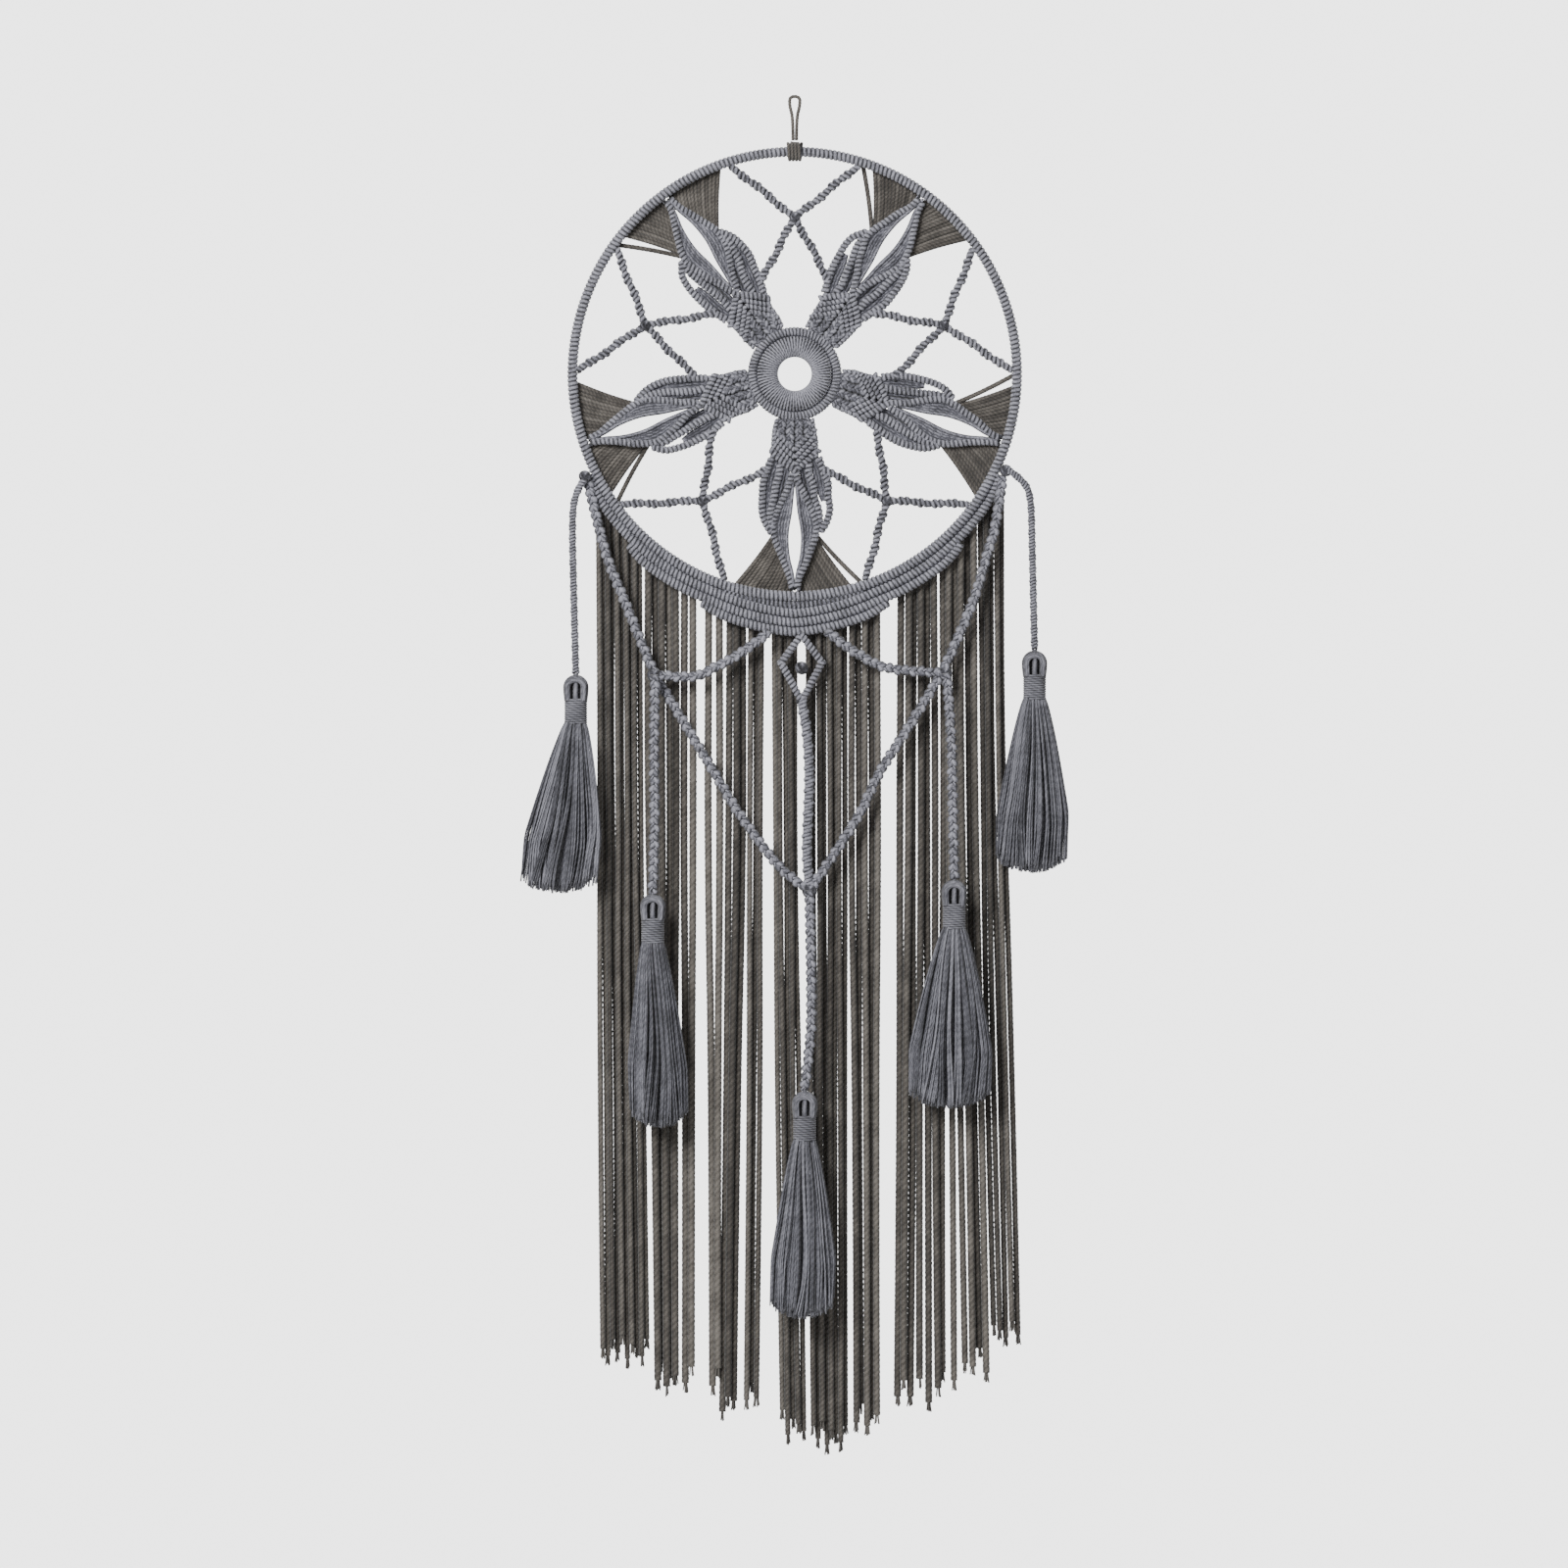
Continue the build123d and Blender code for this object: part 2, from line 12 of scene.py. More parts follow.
import bpy
import numpy as np
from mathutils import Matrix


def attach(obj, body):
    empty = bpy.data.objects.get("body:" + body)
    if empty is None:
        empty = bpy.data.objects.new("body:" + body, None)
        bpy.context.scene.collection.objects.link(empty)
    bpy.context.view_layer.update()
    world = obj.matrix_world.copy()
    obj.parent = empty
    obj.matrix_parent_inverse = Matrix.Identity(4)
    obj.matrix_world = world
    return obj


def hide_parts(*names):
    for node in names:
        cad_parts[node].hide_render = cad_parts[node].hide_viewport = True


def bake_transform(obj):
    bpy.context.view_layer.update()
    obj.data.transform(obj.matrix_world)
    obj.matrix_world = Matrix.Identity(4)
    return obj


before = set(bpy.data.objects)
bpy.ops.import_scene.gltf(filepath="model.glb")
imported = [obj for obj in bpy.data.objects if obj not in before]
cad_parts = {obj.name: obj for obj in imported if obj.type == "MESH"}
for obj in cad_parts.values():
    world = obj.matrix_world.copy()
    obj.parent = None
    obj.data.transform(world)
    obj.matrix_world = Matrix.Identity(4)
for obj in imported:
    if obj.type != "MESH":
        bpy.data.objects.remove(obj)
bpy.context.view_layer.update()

LOG = logging.getLogger("dream_catcher")
MM = 0.001
TAU = 2 * np.pi
GOLDEN_TURN = 2.39996  # turning by this each time spreads points evenly over a disc
FRONT = np.array((0.0, -1.0, 0.0))
SEED = 20


class Slot(Enum):
    """The record's material slots."""

    KNOTTED = "knotted_cotton"
    PLAIN = "plain_cord"
    THREAD = "tassel_thread"
    STEEL = "steel_ring"


class Lay(Enum):
    """How a free cord lies."""

    HANGING = "hanging"
    TAUT = "taut"


# Materials -----------------------------------------------------------------------------------------
def linear(code: str) -> tuple[float, float, float, float]:
    """Turns an sRGB hex colour into a linear one.

    Args:
        code: Six hex digits, such as "7a7a82".

    Returns:
        Red, green, blue and an alpha of 1.
    """
    srgb = np.array([int(code[i : i + 2], 16) for i in (0, 2, 4)]) / 255
    low, high = srgb / 12.92, ((srgb + 0.055) / 1.055) ** 2.4
    return (*np.where(srgb <= 0.04045, low, high).tolist(), 1.0)


def add_node(tree: bpy.types.NodeTree, kind: str, settings: dict, links: dict) -> bpy.types.Node:
    """Adds one node with its settings and links.

    Args:
        tree: The material's node tree.
        kind: The node's type name.
        settings: Attribute names, or input names and numbers, and their values.
        links: Input names or numbers and the output sockets that feed them.

    Returns:
        The new node.
    """
    node = tree.nodes.new(kind)
    for key, value in settings.items():
        if isinstance(key, str) and hasattr(node, key):
            setattr(node, key, value)
        else:
            node.inputs[key].default_value = value
    for key, source in links.items():
        tree.links.new(source, node.inputs[key])
    return node


@dataclass(frozen=True)
class CottonFinish:
    """Spun cotton: a matt, slightly fuzzy yarn whose plies show as slanted grooves.

    The cord's own "tone" attribute picks between three shades, the dye lot's and the painted shade
    of dark cores and backings; fibre noise mottles them, painted shade darkens each cord's sides
    and ply grooves, a painted highlight lightens its face, and the plies and fibres raise the surface.
    """

    name: str
    slot: Slot
    deep: str  # the painted shade in the grooves and dark cores, and the darkest strands
    middle: str
    light: str  # the painted highlight on a cord's face, and the palest strands
    plies: int = 3
    lean: float = 0.55  # turns of a ply in one cord diameter
    fibre_mm: float = 0.45  # real cotton fibre is finer; drawn as coarse as it needs to show
    mottle_mm: float = 9.0
    edge: float = 0.2  # painted shade: how much darker a cord is at its sides, where it meets the next, and lighter on its face
    grain: float = 0.22  # how far the fibres move the shade, each way
    patches: float = 0.12  # how far the mottling moves it
    # painted shade in the grooves between the plies and painted highlight on their ridges
    ply_shade: float = 0.09
    ply_shift: float = 60.0  # turns the plies of each cord by its tone, so that no two line up
    sheen: float = 0.35
    sheen_roughness: float = 0.6
    specular: float = 0.25
    roughness: float = 0.93
    bump: float = 0.55
    bump_mm: float = 0.25

    def material(self) -> bpy.types.Material:
        """Builds the material's nodes.

        Returns:
            The finished material.
        """
        made = bpy.data.materials.new(self.name)
        made.use_nodes = True
        tree = made.node_tree
        shader = tree.nodes["Principled BSDF"]
        shader.inputs["Sheen Weight"].default_value = self.sheen
        shader.inputs["Sheen Roughness"].default_value = self.sheen_roughness
        shader.inputs["Specular IOR Level"].default_value = self.specular
        place = add_node(tree, "ShaderNodeTexCoord", {}, {})
        tone = add_node(tree, "ShaderNodeAttribute", {"attribute_name": "tone"}, {})
        strand = add_node(tree, "ShaderNodeUVMap", {"uv_map": "CordUV"}, {})
        split = add_node(tree, "ShaderNodeSeparateXYZ", {}, {0: strand.outputs[0]})
        # The plies: the cosine of plies * turn round the cord - lean * way along it + a shift by tone;
        # ply_shade paints shade into their grooves and highlight onto their ridges.
        along = add_node(tree, "ShaderNodeMath", {"operation": "MULTIPLY", 1: -self.lean * TAU},
                         {0: split.outputs[1]})
        turn = add_node(tree, "ShaderNodeMath", {"operation": "MULTIPLY_ADD", 1: self.plies * TAU},
                        {0: split.outputs[0], 2: along.outputs[0]})
        shift = add_node(tree, "ShaderNodeMath", {"operation": "MULTIPLY_ADD", 1: self.ply_shift},
                         {0: tone.outputs["Fac"], 2: turn.outputs[0]})
        ply = add_node(tree, "ShaderNodeMath", {"operation": "COSINE"}, {0: shift.outputs[0]})
        fibre = add_node(tree, "ShaderNodeTexNoise",
                         {"Scale": 1 / (self.fibre_mm * MM), "Detail": 3.0, "Roughness": 0.6},
                         {"Vector": place.outputs["Object"]})
        mottle = add_node(tree, "ShaderNodeTexNoise", {"Scale": 1 / (self.mottle_mm * MM), "Detail": 2.0},
                          {"Vector": place.outputs["Object"]})
        shade = add_node(tree, "ShaderNodeMath", {"operation": "MULTIPLY_ADD", 1: self.ply_shade},
                         {0: ply.outputs[0], 2: tone.outputs["Fac"]})
        grain, patch = (
            add_node(tree, "ShaderNodeMapRange",
                     {"From Min": 0.3, "From Max": 0.7, "To Min": -most, "To Max": most},
                     {"Value": noise.outputs[0]})
            for noise, most in ((fibre, self.grain), (mottle, self.patches))
        )
        # Painted shade and highlight: the cosine of twice the turn round the cord darkens two opposite
        # sides of it and lightens the faces between them.
        twice = add_node(tree, "ShaderNodeMath", {"operation": "MULTIPLY", 1: 2 * TAU},
                         {0: split.outputs[0]})
        side = add_node(tree, "ShaderNodeMath", {"operation": "COSINE"}, {0: twice.outputs[0]})
        dimmed = add_node(tree, "ShaderNodeMath", {"operation": "MULTIPLY_ADD", 1: -self.edge},
                          {0: side.outputs[0], 2: patch.outputs[0]})
        both = add_node(tree, "ShaderNodeMath", {"operation": "ADD"},
                        {0: grain.outputs[0], 1: dimmed.outputs[0]})
        total = add_node(tree, "ShaderNodeMath", {"operation": "ADD", "use_clamp": True},
                         {0: shade.outputs[0], 1: both.outputs[0]})
        ramp = add_node(tree, "ShaderNodeValToRGB", {}, {0: total.outputs[0]})
        stops = ramp.color_ramp.elements
        stops[0].color, stops[1].color = linear(self.deep), linear(self.light)
        stops.new(0.5).color = linear(self.middle)
        rough = add_node(tree, "ShaderNodeMapRange",
                         {"To Min": self.roughness - 0.08, "To Max": min(1.0, self.roughness + 0.07)},
                         {"Value": fibre.outputs[0]})
        height = add_node(tree, "ShaderNodeMath", {"operation": "MULTIPLY_ADD", 1: 0.5},
                          {0: ply.outputs[0], 2: fibre.outputs[0]})
        bump = add_node(tree, "ShaderNodeBump",
                        {"Strength": self.bump, "Distance": self.bump_mm * MM},
                        {"Height": height.outputs[0]})
        tree.links.new(ramp.outputs[0], shader.inputs["Base Color"])
        tree.links.new(rough.outputs[0], shader.inputs["Roughness"])
        tree.links.new(bump.outputs[0], shader.inputs["Normal"])
        return made


@dataclass(frozen=True)
class SteelFinish:
    """Drawn mild steel wire: a dull metal with fine lines, almost hidden under its wrap."""

    name: str = "drawn_steel_ring"
    slot: Slot = Slot.STEEL
    colour: str = "9a9a9c"
    line_mm: float = 0.6

    def material(self) -> bpy.types.Material:
        """Builds the material's nodes and returns it."""
        made = bpy.data.materials.new(self.name)
        made.use_nodes = True
        tree = made.node_tree
        shader = tree.nodes["Principled BSDF"]
        shader.inputs["Metallic"].default_value = 1.0
        shader.inputs["Base Color"].default_value = linear(self.colour)
        place = add_node(tree, "ShaderNodeTexCoord", {}, {})
        lines = add_node(tree, "ShaderNodeTexNoise", {"Scale": 1 / (self.line_mm * MM), "Detail": 2.0},
                         {"Vector": place.outputs["Object"]})
        rough = add_node(tree, "ShaderNodeMapRange", {"To Min": 0.3, "To Max": 0.5},
                         {"Value": lines.outputs[0]})
        tree.links.new(rough.outputs[0], shader.inputs["Roughness"])
        return made


# Knotted cord, in a cool grey.
FRONT_COTTON = CottonFinish("grey_cotton_hitches", Slot.KNOTTED, "0c0b0f", "5f5f68", "b8b8c4", fibre_mm=0.9,
                            edge=0.36)
# Plain cord, in a warmer grey.
BACK_COTTON = CottonFinish("grey_cotton_plain_cord", Slot.PLAIN, "12100f", "524d48", "918b83", lean=1.1)
# The tassels' fine two-ply cotton thread.
THREAD = CottonFinish("fine_cotton_thread", Slot.THREAD, "121116", "5c5c64", "adadb8", plies=2, lean=0.3,
                      fibre_mm=0.3)
STEEL = SteelFinish()
CORE_SHADE = 0.1  # painted shade: the cotton seen between the turns of a winding, made dark as the shade there
WIRE_SHARE = 0.98  # a steel wire is made this share of its size, clear of its wrap


# Lines and frames ------------------------------------------------------------------------------------
def unit(vectors: np.ndarray) -> np.ndarray:
    """Each vector divided by its length."""
    return vectors / np.maximum(np.linalg.norm(vectors, axis=-1, keepdims=True), 1e-12)


def arc_length(lines: np.ndarray) -> np.ndarray:
    """Distance from each line's start to each of its points: the running sum of its steps."""
    steps = np.linalg.norm(np.diff(lines, axis=-2), axis=-1)
    return np.concatenate([np.zeros_like(steps[..., :1]), np.cumsum(steps, axis=-1)], axis=-1)


def at_lengths(line: np.ndarray, wanted: np.ndarray) -> np.ndarray:
    """The points of a line at the wanted distances from its start, by straight interpolation."""
    run = arc_length(line)
    return np.stack([np.interp(wanted, run, line[:, i]) for i in range(3)], axis=-1)


def smooth_line(points: np.ndarray, samples: int = 24) -> np.ndarray:
    """A smooth line through given points.

    Between two points it is the Catmull-Rom cubic: half of the sum of twice the first point, the
    difference of its neighbours times t, and the usual second and third power terms.

    Args:
        points: The points that the line passes.
        samples: Steps from one point to the next.

    Returns:
        The line's points, evenly spaced.
    """
    p = np.array(points, float)
    p = np.concatenate([2 * p[:1] - p[1:2], p, 2 * p[-1:] - p[-2:-1]])
    t = np.linspace(0, 1, samples, endpoint=False)[None, :, None]
    a, b, c, d = (p[i : len(p) - 3 + i, None, :] for i in range(4))
    curve = b + 0.5 * t * (c - a + t * (2 * a - 5 * b + 4 * c - d + t * (3 * (b - c) + d - a)))
    line = np.concatenate([curve.reshape(-1, 3), p[-2:-1]])
    run = arc_length(line)
    return at_lengths(line, np.linspace(0, run[-1], len(line)))


def nurbs_line(points: list) -> np.ndarray:
    """The smooth line of a free cord: a NURBS spline with the route's points as control points.

    Args:
        points: The route in millimetres, turned into metres for the spline.

    Returns:
        The points that Blender gives for the spline, in millimetres.
    """
    data = bpy.data.curves.new("route", "CURVE")
    data.dimensions = "3D"
    spline = data.splines.new("NURBS")
    spline.points.add(len(points) - 1)
    route = np.array(points, float) * MM
    spline.points.foreach_set("co", np.c_[route, np.ones(len(route))].ravel())
    spline.order_u = 3
    spline.use_endpoint_u = True
    spline.resolution_u = 24
    holder = bpy.data.objects.new("route", data)
    mesh = bpy.data.meshes.new_from_object(holder)
    line = np.empty(len(mesh.vertices) * 3)
    mesh.vertices.foreach_get("co", line)
    bpy.data.objects.remove(holder)
    bpy.data.meshes.remove(mesh)
    bpy.data.curves.remove(data)
    return line.reshape(-1, 3) / MM


def axes_along(lines: np.ndarray, lean_on: np.ndarray, closed: bool) -> tuple[np.ndarray, ...]:
    """The direction of travel and the two directions across it.

    The side is square to both the travel and the direction that it leans on; the rise is square to
    the side and the travel.

    Args:
        lines: Points, (..., n, 3).
        lean_on: A direction that is never along the line, for each point or for all.
        closed: Whether the last point is followed by the first.

    Returns:
        Travel, side and rise, each (..., n, 3).
    """
    if closed:
        ahead, behind = np.roll(lines, -1, axis=-2), np.roll(lines, 1, axis=-2)
        travel = unit(ahead - behind)
    else:
        travel = unit(np.gradient(lines, axis=-2))
    side = unit(np.cross(np.broadcast_to(lean_on, lines.shape), travel))
    return travel, side, np.cross(travel, side)


@dataclass(frozen=True)
class Helix:
    """A cord wound round a line: its centreline and the way out from the axis at each point."""

    line: np.ndarray
    outward: np.ndarray


def wind(axis: np.ndarray, pitch: float, across: float, deep: float, per_turn: int,
         start: float = 0.0, closed: bool = False, swell: float = 0.0, swell_pitch: float = 0.0) -> Helix:
    """Winds a cord round an axis line.

    At the angle a, the cord is off the axis by across * cos a along the side and by deep * sin a
    towards the front, times 1 + swell * cos 2(a - b), where b turns once in swell_pitch, so that a
    swell with no pitch makes a flat braid and one with a pitch makes a spiral of knots.

    Args:
        axis: The axis line, (n, 3).
        pitch: How far one turn moves on.
        across: Half width of the winding in the hoop's plane.
        deep: Half depth of the winding.
        per_turn: Points in one turn.
        start: Turns by which the winding starts later.
        closed: Whether the axis is a ring, which then gets a whole number of turns.
        swell: Share by which the winding is wider two ways.
        swell_pitch: Length over which the wider ways turn once, or 0.

    Returns:
        The winding.
    """
    whole = np.concatenate([axis, axis[:1]]) if closed else axis
    length = arc_length(whole)[-1]
    turns = max(1, round(length / pitch)) if closed else length / pitch
    count = max(4, int(turns * per_turn))
    share = np.linspace(0, 1, count, endpoint=not closed)
    angle = TAU * (share * turns + start)
    centre = at_lengths(whole, share * length)
    _, side, rise = axes_along(centre, FRONT, closed)
    lag = TAU * share * length / swell_pitch if swell_pitch else 0.0
    size = 1 + swell * np.cos(2 * (angle - lag))
    off = side * (across * np.cos(angle) * size)[:, None]
    off += rise * (deep * np.sin(angle) * size)[:, None]
    return Helix(centre + off, unit(off))


def plait(axis: np.ndarray, pitch: float, sway: float, depth: float, per_turn: int = 16) -> np.ndarray:
    """A three-strand plait along a line.

    Each strand swings aside by sway * sin a and in depth by depth * sin 2a, a third of a turn apart.

    Args:
        axis: The line, (n, 3).
        pitch: Length of one whole swing.
        sway: Furthest swing in the hoop's plane.
        depth: Furthest swing towards the front and the back.
        per_turn: Points in one swing.

    Returns:
        The three strands, (3, n, 3).
    """
    length = arc_length(axis)[-1]
    count = max(6, int(length / pitch * per_turn))
    share = np.linspace(0, 1, count)
    centre = at_lengths(axis, share * length)
    _, side, rise = axes_along(centre, FRONT, False)
    angle = TAU * (share * length / pitch + np.arange(3)[:, None] / 3)[..., None]
    return centre + side * sway * np.sin(angle) + rise * depth * np.sin(2 * angle)


# Meshes ----------------------------------------------------------------------------------------------
@dataclass
class Yarn:
    """Swept cords that become one mesh, with a cord map and a tone for each."""

    spots: list = field(default_factory=list)
    corners: list = field(default_factory=list)
    sizes: list = field(default_factory=list)
    maps: list = field(default_factory=list)
    tones: list = field(default_factory=list)
    count: int = 0

    def sweep(
        self,
        lines: np.ndarray,
        half_width: float | np.ndarray,
        half_depth: float | np.ndarray | None = None,
        lean_on: np.ndarray = FRONT,
        sides: int = 8,
        closed: bool = False,
        tone: float | np.ndarray = 0.5,
        plies: int = 0,
        groove: float = 0.0,
        ply_pitch: float = 1.0,
    ) -> "Yarn":
        """Sweeps an oval section along each line.

        A point of the section at the angle a stands half_width * cos a along the side and
        half_depth * sin a along the rise, times 1 + groove * cos(plies * (a - twist)), where the
        twist turns once in ply_pitch.

        Args:
            lines: One line (n, 3) or several of the same count (k, n, 3).
            half_width: Half the section along the side, one number or one for each point.
            half_depth: Half the section along the rise; the half width where it isn't given.
            lean_on: A direction that is never along the lines.
            sides: Corners of the section.
            closed: Whether each line returns to its start.
            tone: The dye's shade or a painted shade, from 0 to 1, one number or one for each line.
            plies: Ridges round the section.
            groove: How deep the grooves between plies are, as a share of the section.
            ply_pitch: Length in which the plies turn once.

        Returns:
            This yarn, so that sweeps can be chained.
        """
        lines = lines if lines.ndim == 3 else lines[None]
        amount, steps, _ = lines.shape
        wide = np.broadcast_to(np.asarray(half_width, float), (amount, steps))
        deep = wide if half_depth is None else np.broadcast_to(half_depth, (amount, steps))
        _, side, rise = axes_along(lines, lean_on, closed)
        run = arc_length(lines)
        angle = np.arange(sides) / sides * TAU
        ridge = 1 + groove * np.cos(plies * (angle - TAU * run[..., None] / ply_pitch))
        section = side[:, :, None] * (wide[..., None] * np.cos(angle) * ridge)[..., None]
        section = section + rise[:, :, None] * (deep[..., None] * np.sin(angle) * ridge)[..., None]
        self.spots.append((lines[:, :, None] + section).reshape(-1, 3))
        shade = np.broadcast_to(np.asarray(tone, float), (amount,))
        self.tones.append(np.repeat(shade, steps * sides))

        rows = np.arange(steps if closed else steps - 1)
        ring = np.arange(sides)
        first = self.count + np.arange(amount)[:, None, None] * steps * sides
        here, there = rows[None, :, None] * sides, ((rows + 1) % steps)[None, :, None] * sides
        left, right = ring[None, None, :], ((ring + 1) % sides)[None, None, :]
        quads = np.stack([first + here + left, first + here + right, first + there + right,
                          first + there + left], axis=-1)
        self.corners.append(quads.reshape(-1))
        self.sizes.append(np.full(quads.size // 4, 4))
        scale = max(2 * float(wide.max()), 1e-6)
        v_here = np.broadcast_to((run[:, rows] / scale)[..., None], quads.shape[:3])
        step = np.diff(run, axis=-1)
        last = step.mean(axis=-1, keepdims=True)
        v_step = (np.concatenate([step, last], axis=-1) if closed else step) / scale
        v_there = v_here + v_step[..., None]
        u_left = np.broadcast_to(left / sides, quads.shape[:3])
        u_right = u_left + 1 / sides
        pairs = [(u_left, v_here), (u_right, v_here), (u_right, v_there), (u_left, v_there)]
        self.maps.append(np.stack([np.stack(p, axis=-1) for p in pairs], axis=3).reshape(-1, 2))
        self.count += amount * steps * sides
        if not closed:
            self._cap(lines, first[:, 0, 0], sides, steps, shade)
        return self

    def _cap(self, lines: np.ndarray, first: np.ndarray, sides: int, steps: int, shade: np.ndarray) -> None:
        """Closes both ends of each swept line with triangles round a middle point."""
        ring = np.arange(sides)
        after = (ring + 1) % sides
        for row, end, flip in ((0, 0, True), (steps - 1, -1, False)):
            middle = self.count + np.arange(len(lines))
            base = first + row * sides
            around = (after, ring) if flip else (ring, after)
            tri = np.stack([
                np.broadcast_to(middle[:, None], (len(lines), sides)),
                base[:, None] + around[0][None],
                base[:, None] + around[1][None],
            ], axis=-1)
            self.spots.append(lines[:, end])
            self.tones.append(shade)
            self.corners.append(tri.reshape(-1))
            self.sizes.append(np.full(tri.size // 3, 3))
            self.maps.append(np.full((tri.size, 2), 0.5))
            self.count += len(lines)

    def wound(self, helix: Helix, half_width: float, half_depth: float, **options: object) -> "Yarn":
        """Sweeps a wound cord, flattened against what it is wound on."""
        return self.sweep(helix.line, half_width, half_depth, lean_on=helix.outward, **options)

    def knit(self, name: str, finish: CottonFinish | SteelFinish, materials: dict) -> bpy.types.Object:
        """Turns the collected cords into one object.

        Args:
            name: The object's name.
            finish: Its cotton or steel.
            materials: The materials made so far, by finish.

        Returns:
            The new object.
        """
        mesh = bpy.data.meshes.new(name)
        spots = np.concatenate(self.spots)
        corners, sizes = np.concatenate(self.corners), np.concatenate(self.sizes)
        mesh.vertices.add(len(spots))
        mesh.vertices.foreach_set("co", (spots * MM).astype(np.float32).ravel())
        mesh.loops.add(len(corners))
        mesh.loops.foreach_set("vertex_index", corners.astype(np.int32))
        mesh.polygons.add(len(sizes))
        starts = np.concatenate([[0], np.cumsum(sizes)[:-1]])
        mesh.polygons.foreach_set("loop_start", starts.astype(np.int32))
        mesh.polygons.foreach_set("use_smooth", np.ones(len(sizes), bool))
        mesh.update(calc_edges=True)
        layer = mesh.uv_layers.new(name="CordUV")
        layer.data.foreach_set("uv", np.concatenate(self.maps).astype(np.float32).ravel())
        tone = mesh.attributes.new("tone", "FLOAT", "POINT")
        tone.data.foreach_set("value", np.concatenate(self.tones).astype(np.float32))
        if finish not in materials:
            materials[finish] = finish.material()
        mesh.materials.append(materials[finish])
        piece = bpy.data.objects.new(name, mesh)
        bpy.context.scene.collection.objects.link(piece)
        return piece


# Shared sizes ----------------------------------------------------------------------------------------
@dataclass(frozen=True)
class Layout:
    """Where the big parts stand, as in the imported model's source."""

    hoop_r: float = 147.0
    hoop_z: float = -182.4
    wrap_r: float = 3.55
    hoop_wire_r: float = 2.0
    cord_d: float = 3.0
    hitch_d: float = 6.2
    crossing_r: float = 64.7
    collar_outer: float = 31.3
    tip_r: float = 143.45
    row_half_angles: tuple = (63.5, 44.0, 22.0)
    row_dip: float = 4.7
    dip_half_angle: float = 20.0
    end_gap: float = 0.4

    def polar(self, radius: np.ndarray, angle: np.ndarray, y: float = 0.0) -> np.ndarray:
        """Points on the hoop's plane, the angle in degrees from +X towards +Z."""
        turn = np.radians(angle)
        x, z = radius * np.cos(turn), self.hoop_z + radius * np.sin(turn)
        return np.stack([x, np.full_like(x, y), z], axis=-1)

    def row_radius(self, row: int, from_bottom: np.ndarray) -> np.ndarray:
        """A row's centreline radius, from_bottom degrees away from the hoop's lowest point."""
        dip = self.row_dip * np.maximum(0.0, 1 - np.abs(from_bottom) / self.dip_half_angle)
        return self.hoop_r + self.wrap_r + self.hitch_d * (row + 0.5) + dip

    def row_edge(self, x: float) -> float:
        """The height of the lower edge of the lowest row over x."""
        from_bottom = np.degrees(np.arcsin(x / (self.hoop_r + self.wrap_r + self.hitch_d)))
        rows = [i for i, half in enumerate(self.row_half_angles) if i == 0 or abs(from_bottom) < half]
        radius = self.row_radius(max(rows), from_bottom) + self.hitch_d / 2
        return float(self.hoop_z - np.sqrt(radius**2 - x**2))


SIZES = Layout()


@dataclass(frozen=True)
class HitchStyle:
    """Half hitches packed side by side over a leading cord."""

    pitch: float = 2.9
    half_width: float = 1.54
    half_thickness: float = 0.98
    per_turn: int = 11
    sides: int = 6
    # painted shade of the leading cord seen between the hitches
    hitch_core_shade: float = 0.12

    def over(self, yarn: Yarn, axis: np.ndarray, across: float, deep: float, closed: bool = False,
             tone: float = 0.5) -> None:
        """Winds the hitches over an axis line, and lays the leading cord inside them, painted dark as the
        shade between the hitches.

        Args:
            yarn: The yarn that takes the surface.
            axis: The leading cord's line.
            across: Outer half width of the row.
            deep: Outer half depth of the row.
            closed: Whether the row is a ring.
            tone: The dye's shade.
        """
        thick = self.half_thickness
        coil = wind(axis, self.pitch, across - thick, deep - thick, self.per_turn, closed=closed)
        yarn.wound(coil, self.half_width, thick, sides=self.sides, closed=closed, tone=tone)
        inner = max(0.4, min(across, deep) - 1.6 * thick)
        yarn.sweep(axis, inner, sides=8, closed=closed, tone=self.hitch_core_shade)


@dataclass(frozen=True)
class SinnetStyle:
    """Half knots tied the same way, so that the cord turns into a spiral of small knots."""

    pitch: float = 6.4
    bump: float = 11.0
    swell: float = 0.4
    wire: float = 1.2
    flat: tuple = (1.25, 0.85)  # a wound cord's half width and half depth by the wire
    per_turn: int = 16
    sides: int = 7

    def along(self, yarn: Yarn, axis: np.ndarray, diameter: float, tone: float = 0.5) -> None:
        """Winds two cords over a core along a line.

        Args:
            yarn: The yarn that takes the surface.
            axis: The line.
            diameter: The sinnet's diameter.
            tone: The dye's shade.
        """
        wide, deep = self.flat
        off = diameter / 2 - self.wire * deep
        for half, shade in ((0.0, tone), (0.5, tone + 0.06)):
            coil = wind(axis, self.pitch, off, off, self.per_turn, half, False, self.swell, 2 * self.bump)
            yarn.wound(coil, self.wire * wide, self.wire * deep, sides=self.sides, tone=shade)
        # The core is painted dark, as the shade between the turns.
        yarn.sweep(axis, off * 0.7, sides=8, tone=CORE_SHADE)


